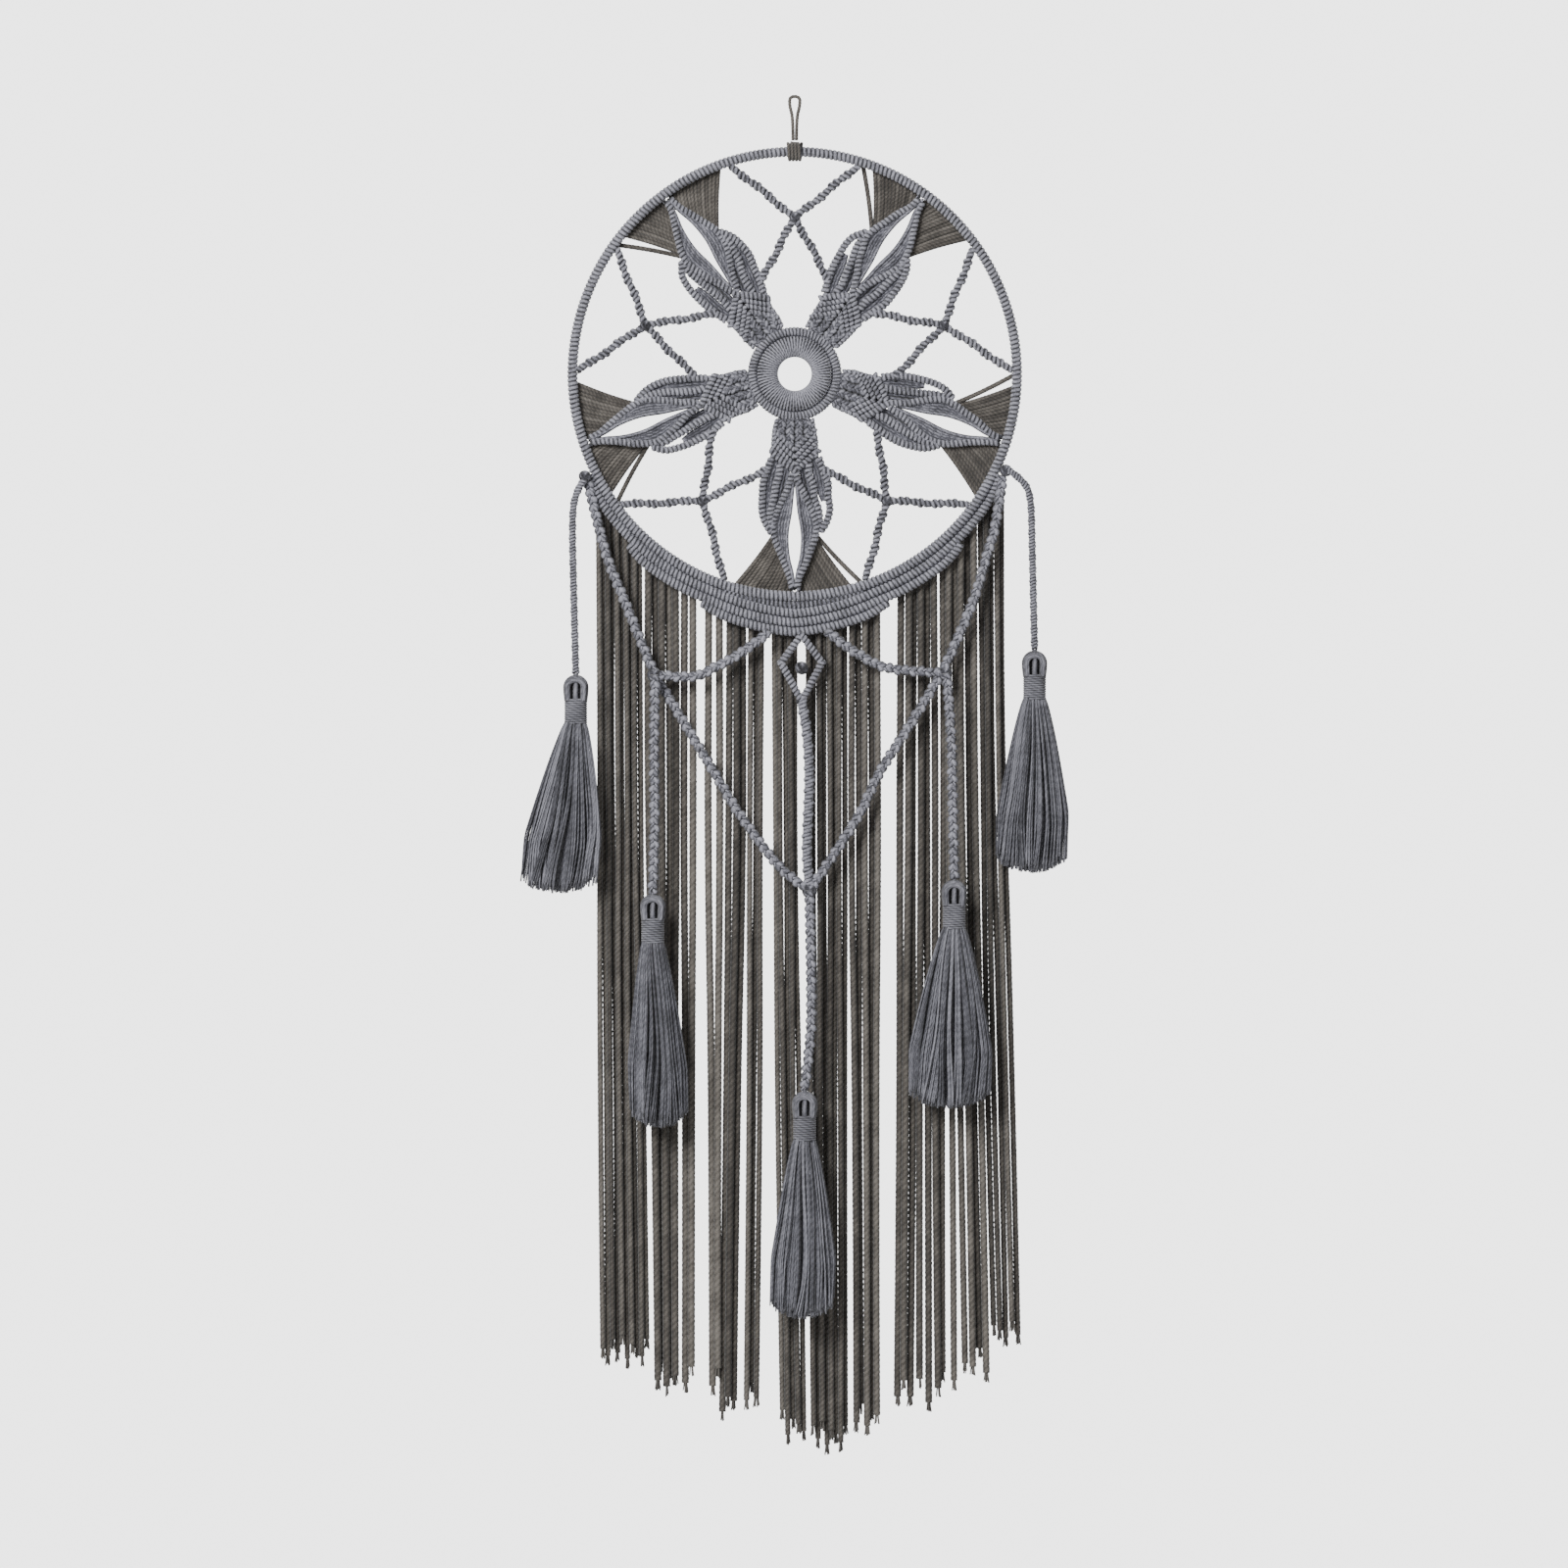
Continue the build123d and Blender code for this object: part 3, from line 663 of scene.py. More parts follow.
@dataclass(frozen=True)
class PlaitStyle:
    """A flat braid of square knots, seen as a lumpy plait."""

    pitch: float = 10.5
    strand: float = 0.235  # a strand's radius as a share of the braid's width
    per_turn: int = 20
    sides: int = 9
    pulse: float = 0.42

    def along(self, yarn: Yarn, axis: np.ndarray, width: float, tone: float = 0.5) -> None:
        """Plaits three strands along a line, which swell and thin together twice in each swing.

        Args:
            yarn: The yarn that takes the surface.
            axis: The line.
            width: The braid's width.
            tone: The dye's shade.
        """
        radius = width * self.strand
        strands = plait(axis, self.pitch, width / 2 - radius, radius * 0.85, self.per_turn)
        steps = strands.shape[1]
        wave = 1 + self.pulse * np.cos(TAU * np.arange(steps) * 2 / self.per_turn)
        tones = np.array([tone - 0.1, tone, tone + 0.12])
        yarn.sweep(strands, radius * wave[None], radius * 0.95 * wave[None], sides=self.sides, tone=tones)
        # The core is painted dark, as the shade between the strands.
        yarn.sweep(axis, radius * 0.6, sides=6, tone=CORE_SHADE)


HITCHES = HitchStyle()
FINE_HITCHES = HitchStyle(pitch=2.3, half_width=1.2, half_thickness=0.8)
NET_SINNET = SinnetStyle()
FINE_SINNET = SinnetStyle(pitch=4.2, bump=8.0, swell=0.16, wire=0.85)
CENTRE_SINNET = SinnetStyle(pitch=5.0, bump=7.5, swell=0.24, wire=1.25)
SWAG_PLAIT = PlaitStyle()
STEM_PLAIT = PlaitStyle(pitch=8.5, pulse=0.25)


def ball(yarn: Yarn, centre: np.ndarray, radius: float, tone: float = 0.5) -> None:
    """Ties a round knot: three loops of cord round one middle, each tipped a different way.

    Args:
        yarn: The yarn that takes the surface.
        centre: The knot's middle.
        radius: The knot's radius.
        tone: The dye's shade.
    """
    turn = np.linspace(0, TAU, 36, endpoint=False)[:, None]
    for i, tip in enumerate(((0.3, -0.9, 0.3), (0.85, -0.2, 0.5), (-0.7, -0.25, 0.65))):
        axle = unit(np.array(tip))
        first = unit(np.cross(axle, (0.1, 0.2, 0.97)))
        second = np.cross(axle, first)
        loop = centre + radius * 0.55 * (first * np.cos(turn) + second * np.sin(turn))
        yarn.sweep(loop, radius * 0.42, lean_on=axle, sides=10, closed=True, tone=tone + 0.05 * (i - 1))
    # The middle between the loops is painted dark, as the shade inside the knot.
    yarn.sweep(centre + np.array((0, 0, radius * 0.5)) * np.array([[-1], [0], [1]]), radius * 0.4,
               sides=8, tone=0.15)


# The dream catcher's parts ---------------------------------------------------------------------------
@dataclass(frozen=True)
class Hanger:
    """The doubled cord over the nail and the lark's head round the hoop."""

    cord_d: float = 2.2
    gap: float = 0.05
    eye_r: float = 2.3
    eye_length: float = 13.0
    knot_width: float = 9.0
    knot_r: float = 6.55
    collar: float = 0.6
    bar_pitch: float = 2.25
    ring_pitch: float = 1.1

    def loop(self, materials: dict) -> bpy.types.Object:
        strand_x, eye_x = self.cord_d / 2 + self.gap, self.eye_r + self.cord_d / 2
        low = SIZES.hoop_z + SIZES.hoop_r + self.knot_r + self.collar + SIZES.end_gap
        rise = [(strand_x, low), (strand_x, -self.eye_length), (eye_x, -self.eye_length * 0.4),
                (eye_x, self.cord_d / 2)]
        route = [(-x, 0, z) for x, z in rise] + [(x, 0, z) for x, z in reversed(rise)]
        line = nurbs_line(route)
        made = Yarn().sweep(line, self.cord_d / 2, sides=12, tone=0.5, plies=3, groove=0.08,
                            ply_pitch=6.0).knit("hanging_loop_cord", BACK_COTTON, materials)
        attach(made, "hanger")
        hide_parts("hanging_loop")
        return made

    def knot(self, materials: dict) -> bpy.types.Object:
        """Makes the knot: a cord wound round the hoop's top and a collar on top."""
        yarn, wire = Yarn(), self.cord_d / 2
        top = SIZES.hoop_z + SIZES.hoop_r
        across = np.linspace(-self.knot_width / 2, self.knot_width / 2, 40)
        axis = np.stack([across, 0 * across, top + 0 * across], axis=-1)
        coil = wind(axis, self.bar_pitch, self.knot_r - wire, self.knot_r - wire, 26)
        yarn.wound(coil, wire, wire, sides=8, tone=0.5)
        height = np.linspace(top + self.knot_r - 1.5, top + self.knot_r + self.collar - 1.0, 12)
        stem = np.stack([0 * height, 0 * height, height], axis=-1)
        ring = wind(stem, self.ring_pitch, wire * 2.0, wire * 2.0, 20)
        yarn.wound(ring, wire * 0.8, wire * 0.8, sides=8, tone=0.55)
        made = yarn.knit("larks_head", BACK_COTTON, materials)
        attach(made, "lark_head")
        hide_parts("hanging_knot")
        return made


@dataclass(frozen=True)
class Hoop:
    """The wrapped steel ring and the rows of hitches under it."""

    bar_pitch: float = 2.9
    taper: float = 2.6  # the rows' ends close up to the hoop by this much
    taper_angle: float = 7.0
    valley_r: float = 1.2  # a cord painted near black between two rows, as the shade in the gap
    valley_y: float = 0.9
    valley_shade: float = 0.03
    shade_core_gap: float = 0.35  # from the steel to the core inside the wrap, painted dark as the shade between its turns
    filler_half: tuple = (3.2, 2.4)  # the crescent between the hoop and the rows, painted darker as the shade in the dip: half width and depth
    filler_reach: float = 0.9  # the crescent's share of the dip's angle
    ring_points: int = 900
    row_points: int = 400
    filler_points: int = 120

    def make(self, materials: dict) -> list[bpy.types.Object]:
        """Makes the ring, its wrap and the three rows."""
        around = np.linspace(0, 360, self.ring_points, endpoint=False)
        circle = SIZES.polar(np.full(self.ring_points, SIZES.hoop_r), around)
        ring = Yarn().sweep(circle, SIZES.hoop_wire_r * WIRE_SHARE, sides=10, closed=True)
        core = ring.knit("hoop_steel", STEEL, materials)
        yarn = Yarn()
        thick = HITCHES.half_thickness
        coil = wind(circle, self.bar_pitch, SIZES.wrap_r - thick, SIZES.wrap_r - thick, 12, closed=True)
        yarn.wound(coil, HITCHES.half_width, thick, sides=6, closed=True, tone=0.55)
        # The core under the wrap is painted dark, as the shade between the turns.
        yarn.sweep(circle, SIZES.hoop_wire_r + self.shade_core_gap, sides=8, closed=True, tone=CORE_SHADE)
        wrap = yarn.knit("hoop_hitches", FRONT_COTTON, materials)
        made = [core, wrap]
        for row, half in enumerate(SIZES.row_half_angles):
            angles = np.linspace(-half, half, self.row_points)
            radius = SIZES.row_radius(row, angles)
            close = np.clip((np.abs(angles) - half + self.taper_angle) / self.taper_angle, 0, 1)
            line = SIZES.polar(radius - self.taper * close**2, angles - 90)
            yarn = Yarn()
            HITCHES.over(yarn, line, SIZES.hitch_d / 2, SIZES.hitch_d / 2, tone=0.5 + 0.03 * (row % 2))
            # The cord in the valley is painted near black, as the shade between the rows.
            valley = SIZES.polar(radius - SIZES.hitch_d / 2, angles - 90, self.valley_y)
            yarn.sweep(valley, self.valley_r, sides=8, tone=self.valley_shade)
            if row == 0:
                near = np.linspace(-1, 1, self.filler_points) * SIZES.dip_half_angle * self.filler_reach
                outer = SIZES.row_radius(0, near) - SIZES.hitch_d / 2
                between = (SIZES.hoop_r + SIZES.wrap_r + outer) / 2
                # The crescent's lower tone paints the shade in the dip under the hoop.
                HITCHES.over(yarn, SIZES.polar(between, near - 90, self.valley_y), *self.filler_half,
                             tone=0.3)
            made.append(yarn.knit(f"hitches_{row + 1}", FRONT_COTTON, materials))
            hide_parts(f"hitch_row_{row + 1}")
        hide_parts("hoop_core")
        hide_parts("hoop_wrap")
        return made


@dataclass(frozen=True)
class Medallion:
    """The small wrapped ring in the middle and the rope round it."""

    ring_r: float = 18.05
    half_width: float = 7.05
    half_depth: float = 4.5
    wire_r: float = 2.0
    turns: int = 69
    collar_r: float = 28.2
    collar_half: float = 3.1
    cord_half: float = 0.75  # half thickness of the wrapping cord
    shade_core_inset: float = 1.4  # how far the core, painted dark as the shade between the wrap's turns, stands inside the wrap
    groove_r: float = 1.3  # a cord painted near black between the wrap and the collar, as the shade in the groove
    groove_y: float = 0.8
    points: int = 240

    def make(self, materials: dict) -> list[bpy.types.Object]:
        """Makes the ring, its wrap and the collar."""
        around = np.linspace(0, 360, self.points, endpoint=False)
        circle = SIZES.polar(np.full(self.points, self.ring_r), around)
        core = Yarn().sweep(circle, self.wire_r * WIRE_SHARE, sides=10, closed=True)
        thick, pitch = self.cord_half, TAU * self.ring_r / self.turns
        yarn = Yarn()
        coil = wind(circle, pitch, self.half_width - thick, self.half_depth - thick, 22, closed=True)
        yarn.wound(coil, pitch * 0.56, thick, sides=6, closed=True, tone=0.5)
        # The core inside the wrap is painted dark, as the shade between the turns.
        yarn.sweep(circle, self.half_width - self.shade_core_inset, self.half_depth - self.shade_core_inset, sides=12,
                   closed=True, tone=CORE_SHADE)
        rope = Yarn()
        outer = SIZES.polar(np.full(self.points, self.collar_r), around)
        FINE_HITCHES.over(rope, outer, self.collar_half, self.collar_half, closed=True, tone=0.48)
        # The groove's cord is painted near black, as the shade between the wrap and the collar.
        groove = SIZES.polar(np.full(self.points, self.ring_r + self.half_width), around, self.groove_y)
        rope.sweep(groove, self.groove_r, sides=8, closed=True, tone=0.02)
        made = [
            core.knit("centre_steel", STEEL, materials),
            yarn.knit("centre_wrap", FRONT_COTTON, materials),
            rope.knit("centre_rope", FRONT_COTTON, materials),
        ]
        for piece, node in zip(made, ("centre_ring_core", "centre_ring_wrap", "centre_collar")):
            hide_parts(node)
        return made


@dataclass(frozen=True)
class Petal:
    """A knotted petal: rows of hitches that cross in a V and open into loops round a lens.

    Each row is a list of points (along the petal, across it, towards the back), from the hoop's
    middle outwards. Rows come in pairs, and the second of a pair is the first one mirrored.
    """

    row_half: float = 2.7
    row_depth: float = 2.4
    v_half: float = 1.8
    v_tips: tuple = (50.3, 55.1, 59.9)
    v_reach: float = 13.4
    spread: tuple = ((1.0, 1.06), (1.0, 1.12))  # how wide the loops stand, on the left and the right
    rail: tuple = (
        (50.3, -15.8, 0), (57.2, -8.6, -0.6), (64.7, 0, -1.2), (70.5, 2.6, -0.9), (77, 5.0, -0.6),
        (85, 8.8, -0.4), (93.5, 12.7, -0.2), (101, 14.4, 0), (108.6, 13.4, 0), (116, 10.6, 0),
        (125.3, 6.8, 0), (135, 2.9, 0.3), (142.5, 1.5, 0.6),
    )
    edge: tuple = ((30.5, 11.6, 0.4), (37, 12.9, 0), (45, 13.4, 0.2), (52, 14.4, 0.4), (58, 15.4, 0.6))
    loops: tuple = (
        ((60, 9.5, 0.2), (66, 9.8, 0.1), (74, 11.8, 0), (82, 13.8, 0), (89, 15.4, 0), (96, 16.2, 0.2),
         (102, 15.0, 0.5)),
        ((56, 14.5, 0.4), (64, 17.2, 0.2), (72, 19.2, 0), (81, 20.4, 0), (89, 20.6, 0), (96, 19.3, 0),
         (101, 17.2, 0.2), (104.5, 14.8, 0.6)),
    )
    border: tuple = (
        (70, 0.9, 0.2), (80, 1.9, 0.1), (91, 3.0, 0), (103, 5.0, 0), (112, 5.3, 0), (122, 4.3, 0),
        (132, 1.9, 0.2), (140, 0.9, 0.6),
    )
    fillers: tuple = (0.2, 0.4, 0.6, 0.8)
    columns: tuple = (-8.8, -3.0, 3.0, 8.8)
    column_d: float = 6.4
    rail_share: float = 0.93  # a rail's half width by a loop row's
    over_lift: float = -0.5  # the side that crosses in front
    under_lift: float = 0.4
    lens_steps: int = 60
    filler_r: float = 1.35
    filler_back: float = 0.9
    border_depth: float = 1.7
    back_pitch: float = 1.15
    loop_back_half: float = 3.5  # a backing narrower than this follows the outer loops
    backs: tuple = (  # cords painted dark as the shade seen between the rows: its line, half width, and which sides have it
        (((31, 0, 1.6), (45, 0, 1.6), (58, 0, 1.6), (64, 0, 1.6)), 12.8, (1,)),
        (((54, 5, 1.5), (62, 6.2, 1.5), (70, 8, 1.5), (80, 10.2, 1.5), (90, 13, 1.5), (97, 14.8, 1.5)), 3.9,
         (1, -1)),
        (((52, 9, 1.5), (60, 11.8, 1.5), (66, 13.8, 1.5), (75, 15.4, 1.5), (84, 17, 1.5)), 3.3, (1, -1)),
        (((80, 16.6, 1.5), (88, 17.4, 1.5), (94, 17.6, 1.5), (99, 16.6, 1.5)), 3.0, (-1,)),
    )

    def place(self, points: np.ndarray, angle: float) -> np.ndarray:
        """Turns points of the petal (along, across, back) into points of the object."""
        turn = np.radians(angle)
        along = np.array((np.cos(turn), 0, np.sin(turn)))
        across = np.array((-np.sin(turn), 0, np.cos(turn)))
        flat = points[..., :1] * along + points[..., 1:2] * across
        return flat + points[..., 2:] * np.array((0, 1, 0)) + np.array((0, 0, SIZES.hoop_z))

    def make(self, number: int, angle: float, materials: dict, dice: np.random.Generator) -> bpy.types.Object:
        """Makes one petal.

        Args:
            number: Which petal, from 1.
            angle: Its direction in degrees.
            materials: The materials made so far.
            dice: The seeded source of small differences.

        Returns:
            The petal.
        """
        yarn = Yarn()
        wobble = dice.normal(0, 0.3, (2, len(self.rail)))
        for side in (1, -1):
            self.wind_rows(yarn, side, angle, wobble[int(side > 0)], dice)
            self.fill_lens(yarn, side, angle, dice)
        self.fill_stem(yarn, angle)
        self.back_rows(yarn, angle)
        made = yarn.knit(f"petal_{number}_knots", FRONT_COTTON, materials)
        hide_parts(f"petal_{number}")
        return made

    def wind_rows(self, yarn: Yarn, side: int, angle: float, wobble: np.ndarray,
                  dice: np.random.Generator) -> None:
        """Winds one side's V rows, rail, stem edge and loops.

        Args:
            yarn: The yarn that takes the surface.
            side: 1 or -1, the side of the petal's middle line.
            angle: The petal's direction in degrees.
            wobble: How far each point of a row stands aside.
            dice: The seeded source of small differences.
        """
        mirror = np.array((1, side, 1.0))
        over = np.array((0, 0, self.over_lift if side > 0 else self.under_lift))
        reach = self.v_reach
        v_rows = [((tip - reach, reach, -0.3), (tip - reach / 2, reach * 0.53, -0.9), (tip, 0.5, -1.2))
                  for tip in self.v_tips]
        rows = [(row, self.v_half, over, 1.0) for row in v_rows]
        rows.append((self.rail, self.row_half * self.rail_share, over, 1.0))
        rows.append((self.edge, self.v_half, 0 * over, 1.0))
        for row, wider in zip(self.loops, self.spread[int(side > 0)]):
            rows.append((row, self.row_half, 0 * over, wider))
        for row, half, lift, wider in rows:
            spots = np.array(row) * mirror * np.array((1, wider, 1)) + lift
            spots[1:-1, 1] += wobble[: len(spots)][1:-1]
            line = self.place(smooth_line(spots), angle)
            HITCHES.over(yarn, line, half, self.row_depth, tone=0.5 + dice.uniform(-0.05, 0.06))

    def fill_lens(self, yarn: Yarn, side: int, angle: float, dice: np.random.Generator) -> None:
        """Lays one side's lens border and the cords behind it, painted darker as they lie in shade.

        Args:
            yarn: The yarn that takes the surface.
            side: 1 or -1, the side of the petal's middle line.
            angle: The petal's direction in degrees.
            dice: The seeded source of small differences.
        """
        mirror = np.array((1, side, 1.0))
        share = np.linspace(0, 1, self.lens_steps)
        border = smooth_line(np.array(self.border) * mirror)
        rail = smooth_line(np.array(self.rail[3:]) * mirror)
        border = at_lengths(border, share * arc_length(border)[-1])
        rail = at_lengths(rail, share * arc_length(rail)[-1])
        yarn.sweep(self.place(border, angle), self.filler_r, self.border_depth, sides=9, tone=0.4)
        # The cords behind the border are painted darker, as the shade they lie in.
        for fill in self.fillers:
            line = border + (rail - border) * fill + np.array((0, 0, self.filler_back))
            yarn.sweep(self.place(line, angle), self.filler_r, sides=8,
                       tone=0.26 + dice.uniform(-0.06, 0.08))

    def fill_stem(self, yarn: Yarn, angle: float) -> None:
        """Fills the stem with small plaits from the medallion to the V rows.

        Args:
            yarn: The yarn that takes the surface.
            angle: The petal's direction in degrees.
        """
        for i, v in enumerate(self.columns):
            end = self.v_tips[0] - abs(v) * 0.9
            span = np.array([(SIZES.collar_outer - 2.0, v * 0.85, 0.4), (36, v, -0.2), (end, v, 0.2)])
            line = self.place(smooth_line(span), angle)
            STEM_PLAIT.along(yarn, line, self.column_d, tone=0.3 + 0.06 * (i % 2))

    def back_rows(self, yarn: Yarn, angle: float) -> None:
        """Lays cords behind the rows, painted dark as the shade where the gaps between them show.

        Args:
            yarn: The yarn that takes the surface.
            angle: The petal's direction in degrees.
        """
        for points, half, sides in self.backs:
            for side in sides:
                wider = self.spread[int(side > 0)][1] if half < self.loop_back_half else 1.0
                line = smooth_line(np.array(points) * np.array((1, side * wider, 1.0)))
                narrow = half * np.sin(np.pi * np.linspace(0.04, 0.96, len(line))) ** 0.4
                for shift in np.linspace(-1, 1, max(2, round(half / self.back_pitch))):
                    strand = line + np.array((0, 1.0, 0)) * (shift * (narrow - 1.2))[:, None]
                    # Each backing cord is painted dark, as the shade between the rows.
                    yarn.sweep(self.place(strand, angle), self.filler_r, 1.1, sides=8, tone=0.2)


@dataclass(frozen=True)
class Fan:
    """Plain cords that spread behind a petal's tip to the hoop."""

    cords: int = 14
    cord_r: float = 1.55
    outer_angle: float = 16.0
    inner_angle: float = 1.5
    loose_angle: float = 2.2  # the outermost cord on the right stands off by this much
    first_r: float = 105.0
    y: float = 4.4
    sag: float = 1.1
    tip_gap: float = 9.0  # from the last cord's start to the petal's tip
    tuck: float = 1.5  # how far a cord starts inside its rail

    def make(self, number: int, angle: float, materials: dict, dice: np.random.Generator) -> bpy.types.Object:
        """Makes one fan; the arguments are as for a petal."""
        rail = np.array(Petal().rail)[6:]
        starts, ends, bows = [], [], []
        for side in (-1, 1):
            share = np.linspace(0, 1, self.cords)
            radius = self.first_r + (SIZES.tip_r - self.tip_gap - self.first_r) * share
            across = np.interp(radius, rail[:, 0], rail[:, 1]) - self.tuck
            spread = np.degrees(np.arctan2(across, radius))
            hoop_angle = self.outer_angle + (self.inner_angle - self.outer_angle) * share
            if side > 0:
                hoop_angle[0] += self.loose_angle
            depth = self.y + dice.uniform(-0.4, 0.4, self.cords)
            start = SIZES.polar(radius, angle + side * spread)
            end = SIZES.polar(np.full(self.cords, SIZES.hoop_r), angle + side * hoop_angle)
            start[:, 1], end[:, 1] = depth, depth
            starts.append(start)
            ends.append(end)
            bows.append(np.full(self.cords, -side) * self.sag * (1 - share * 0.6))
        start, end, bow = np.concatenate(starts), np.concatenate(ends), np.concatenate(bows)
        along = np.linspace(0, 1, 34)[None, :, None]
        lines = start[:, None] * (1 - along) + end[:, None] * along
        turn = np.radians(angle)
        across = np.array((-np.sin(turn), 0, np.cos(turn)))
        lines = lines + across * np.sin(np.pi * along) * bow[:, None, None]
        tones = 0.42 + dice.uniform(-0.14, 0.12, len(lines))
        yarn = Yarn().sweep(lines, self.cord_r, sides=9, tone=tones, plies=3, groove=0.06, ply_pitch=8.2)
        made = yarn.knit(f"fan_{number}_cords", BACK_COTTON, materials)
        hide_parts(f"fan_{number}")
        return made


@dataclass(frozen=True)
class NetCross:
    """Four spiral arms from one knot: two to the hoop and two to the petals beside it."""

    crossing_r: float = 103.7
    outer_angle: float = 17.0
    inner_depth: float = 62.7
    inner_out: float = 17.3
    knot_r: float = 4.2
    arm_d: float = 5.5
    petal_angle: float = 36.0
    wave: float = 0.7

    def make(self, number: int, angle: float, materials: dict, dice: np.random.Generator) -> bpy.types.Object:
        """Makes one crossing and its arms; the arguments are as for a petal."""
        yarn = Yarn()
        middle = SIZES.polar(np.array(self.crossing_r), np.array(angle))
        inner_r = np.hypot(self.inner_depth, self.inner_out)
        inner_spread = np.degrees(np.arctan2(self.inner_out, self.inner_depth))
        for side in (-1, 1):
            for far_r, turn in ((SIZES.tip_r, self.outer_angle), (inner_r, self.petal_angle - inner_spread)):
                far = SIZES.polar(np.array(far_r), np.array(angle + side * turn))
                share = np.linspace(0, 1, 60)[:, None]
                line = middle + (far - middle) * share
                aside = unit(np.cross(far - middle, FRONT))
                phase = dice.uniform(0, TAU)
                line = line + aside * self.wave * np.sin(np.pi * share) * np.sin(TAU * 1.5 * share + phase)
                NET_SINNET.along(yarn, line, self.arm_d, tone=0.46 + dice.uniform(-0.05, 0.05))
        ball(yarn, middle, self.knot_r)
        made = yarn.knit(f"net_{number}_sinnets", FRONT_COTTON, materials)
        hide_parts(f"net_cross_{number}")
        return made


@dataclass(frozen=True)
class Swags:
    """The diamond, the swags and the centre braid, with the knots where they meet."""

    braid_d: float = 6.6
    diamond_x: float = 4.5
    diamond_half: float = 13.6
    diamond_upper: float = 18.1
    diamond_lower: float = 25.3
    diamond_cord: float = 5.2
    diamond_lap: float = 1.0  # how far its top corner reaches over the rows' edge
    diamond_knot_r: float = 4.7
    y: float = -6.0
    left: tuple = (
        (-139, -2, -252), (-131, -5, -284), (-124, -6, -308), (-114, -6, -332), (-102.5, -6, -360),
        (-92.8, -6, -381.8), (-77, -6, -408), (-55, -6, -444), (-36.5, -6, -474), (-10.5, -6, -508),
        (9.7, -6, -524),
    )
    right: tuple = (
        (143, -2, -250), (137, -5, -284), (131.5, -6, -301), (123.5, -6, -327), (113, -6, -352),
        (99.1, -6, -380.5), (79, -6, -413), (57.5, -6, -446), (45, -6, -471), (29, -6, -496),
        (9.7, -6, -524),
    )
    inner_left: tuple = (
        (-17.5, -5, -359.5), (-36, -6, -371.5), (-52, -6, -379), (-67, -6, -384), (-92.8, -6, -381.8),
    )
    inner_right: tuple = (
        (22, -5, -359.5), (30.5, -6, -365), (42, -6, -371), (61, -6, -378.5), (99.1, -6, -380.5),
    )
    centre: tuple = (
        (4.5, -5, -400), (8, -6, -422), (9.5, -6, -450), (8.5, -6, -480), (8, -6, -500), (9.7, -6, -524),
    )
    side_knots: tuple = (((-138.6, -5.0, -250.5), 4.4), ((139.4, -5.0, -246.5), 4.4))
    knots: tuple = (
        ("swag_knot_left", (-92.8, -6, -381.8), 5.2), ("swag_knot_right", (99.1, -6, -380.5), 5.2),
        ("swag_knot_point", (9.7, -6, -524), 5.4),
    )

    def make(self, materials: dict) -> list[bpy.types.Object]:
        """Makes the diamond, the braids and the knots."""
        top = SIZES.row_edge(0.0) + self.diamond_lap
        middle, bottom = top - self.diamond_upper, top - self.diamond_upper - self.diamond_lower
        y = self.y / 2
        x, half = self.diamond_x, self.diamond_half
        corners = [(x, y, top), (x + half, y, middle), (x, y, bottom), (x - half, y, middle), (x, y, top)]
        frame_yarn = Yarn()
        for start, end in zip(corners, corners[1:]):
            share = np.linspace(-0.02, 1.02, 40)[:, None]
            line = np.array(start) * (1 - share) + np.array(end) * share
            HITCHES.over(frame_yarn, line, self.diamond_cord / 2, self.diamond_cord / 2, tone=0.52)
        knot = Yarn()
        ball(knot, np.array((x, y, (top + bottom) / 2)), self.diamond_knot_r, tone=0.45)
        made = [frame_yarn.knit("diamond_hitches", FRONT_COTTON, materials),
                knot.knit("diamond_middle", FRONT_COTTON, materials)]
        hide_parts("diamond_frame")
        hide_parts("diamond_knot")
        end = SIZES.row_half_angles[0]
        radius = SIZES.row_radius(0, np.array(end))
        routes = {
            "swag_left": (self.left, SIZES.polar(radius, np.array(-end - 90), -2)),
            "swag_right": (self.right, SIZES.polar(radius, np.array(end - 90), -2)),
            "swag_inner_left": (self.inner_left, (-17.5, -5, SIZES.row_edge(-17.5))),
            "swag_inner_right": (self.inner_right, (22, -5, SIZES.row_edge(22.0))),
            "centre_braid": (self.centre, (x, -5, bottom)),
        }
        for name, (route, start) in routes.items():
            points = np.array(route, float)
            points += (np.array(start, float) - points[0]) * np.linspace(1, 0, len(points))[:, None]
            yarn = Yarn()
            style = CENTRE_SINNET if name == "centre_braid" else SWAG_PLAIT
            style.along(yarn, smooth_line(points), self.braid_d)
            made.append(yarn.knit(f"{name}_plait", FRONT_COTTON, materials))
            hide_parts(name)
        for name, spot, radius in self.knots:
            yarn = Yarn()
            ball(yarn, np.array(spot), radius)
            for at, reach in self.side_knots if name == "swag_knot_point" else ():
                ball(yarn, np.array(at), reach)
            made.append(yarn.knit(f"{name}_loops", FRONT_COTTON, materials))
            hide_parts(name)
        return made


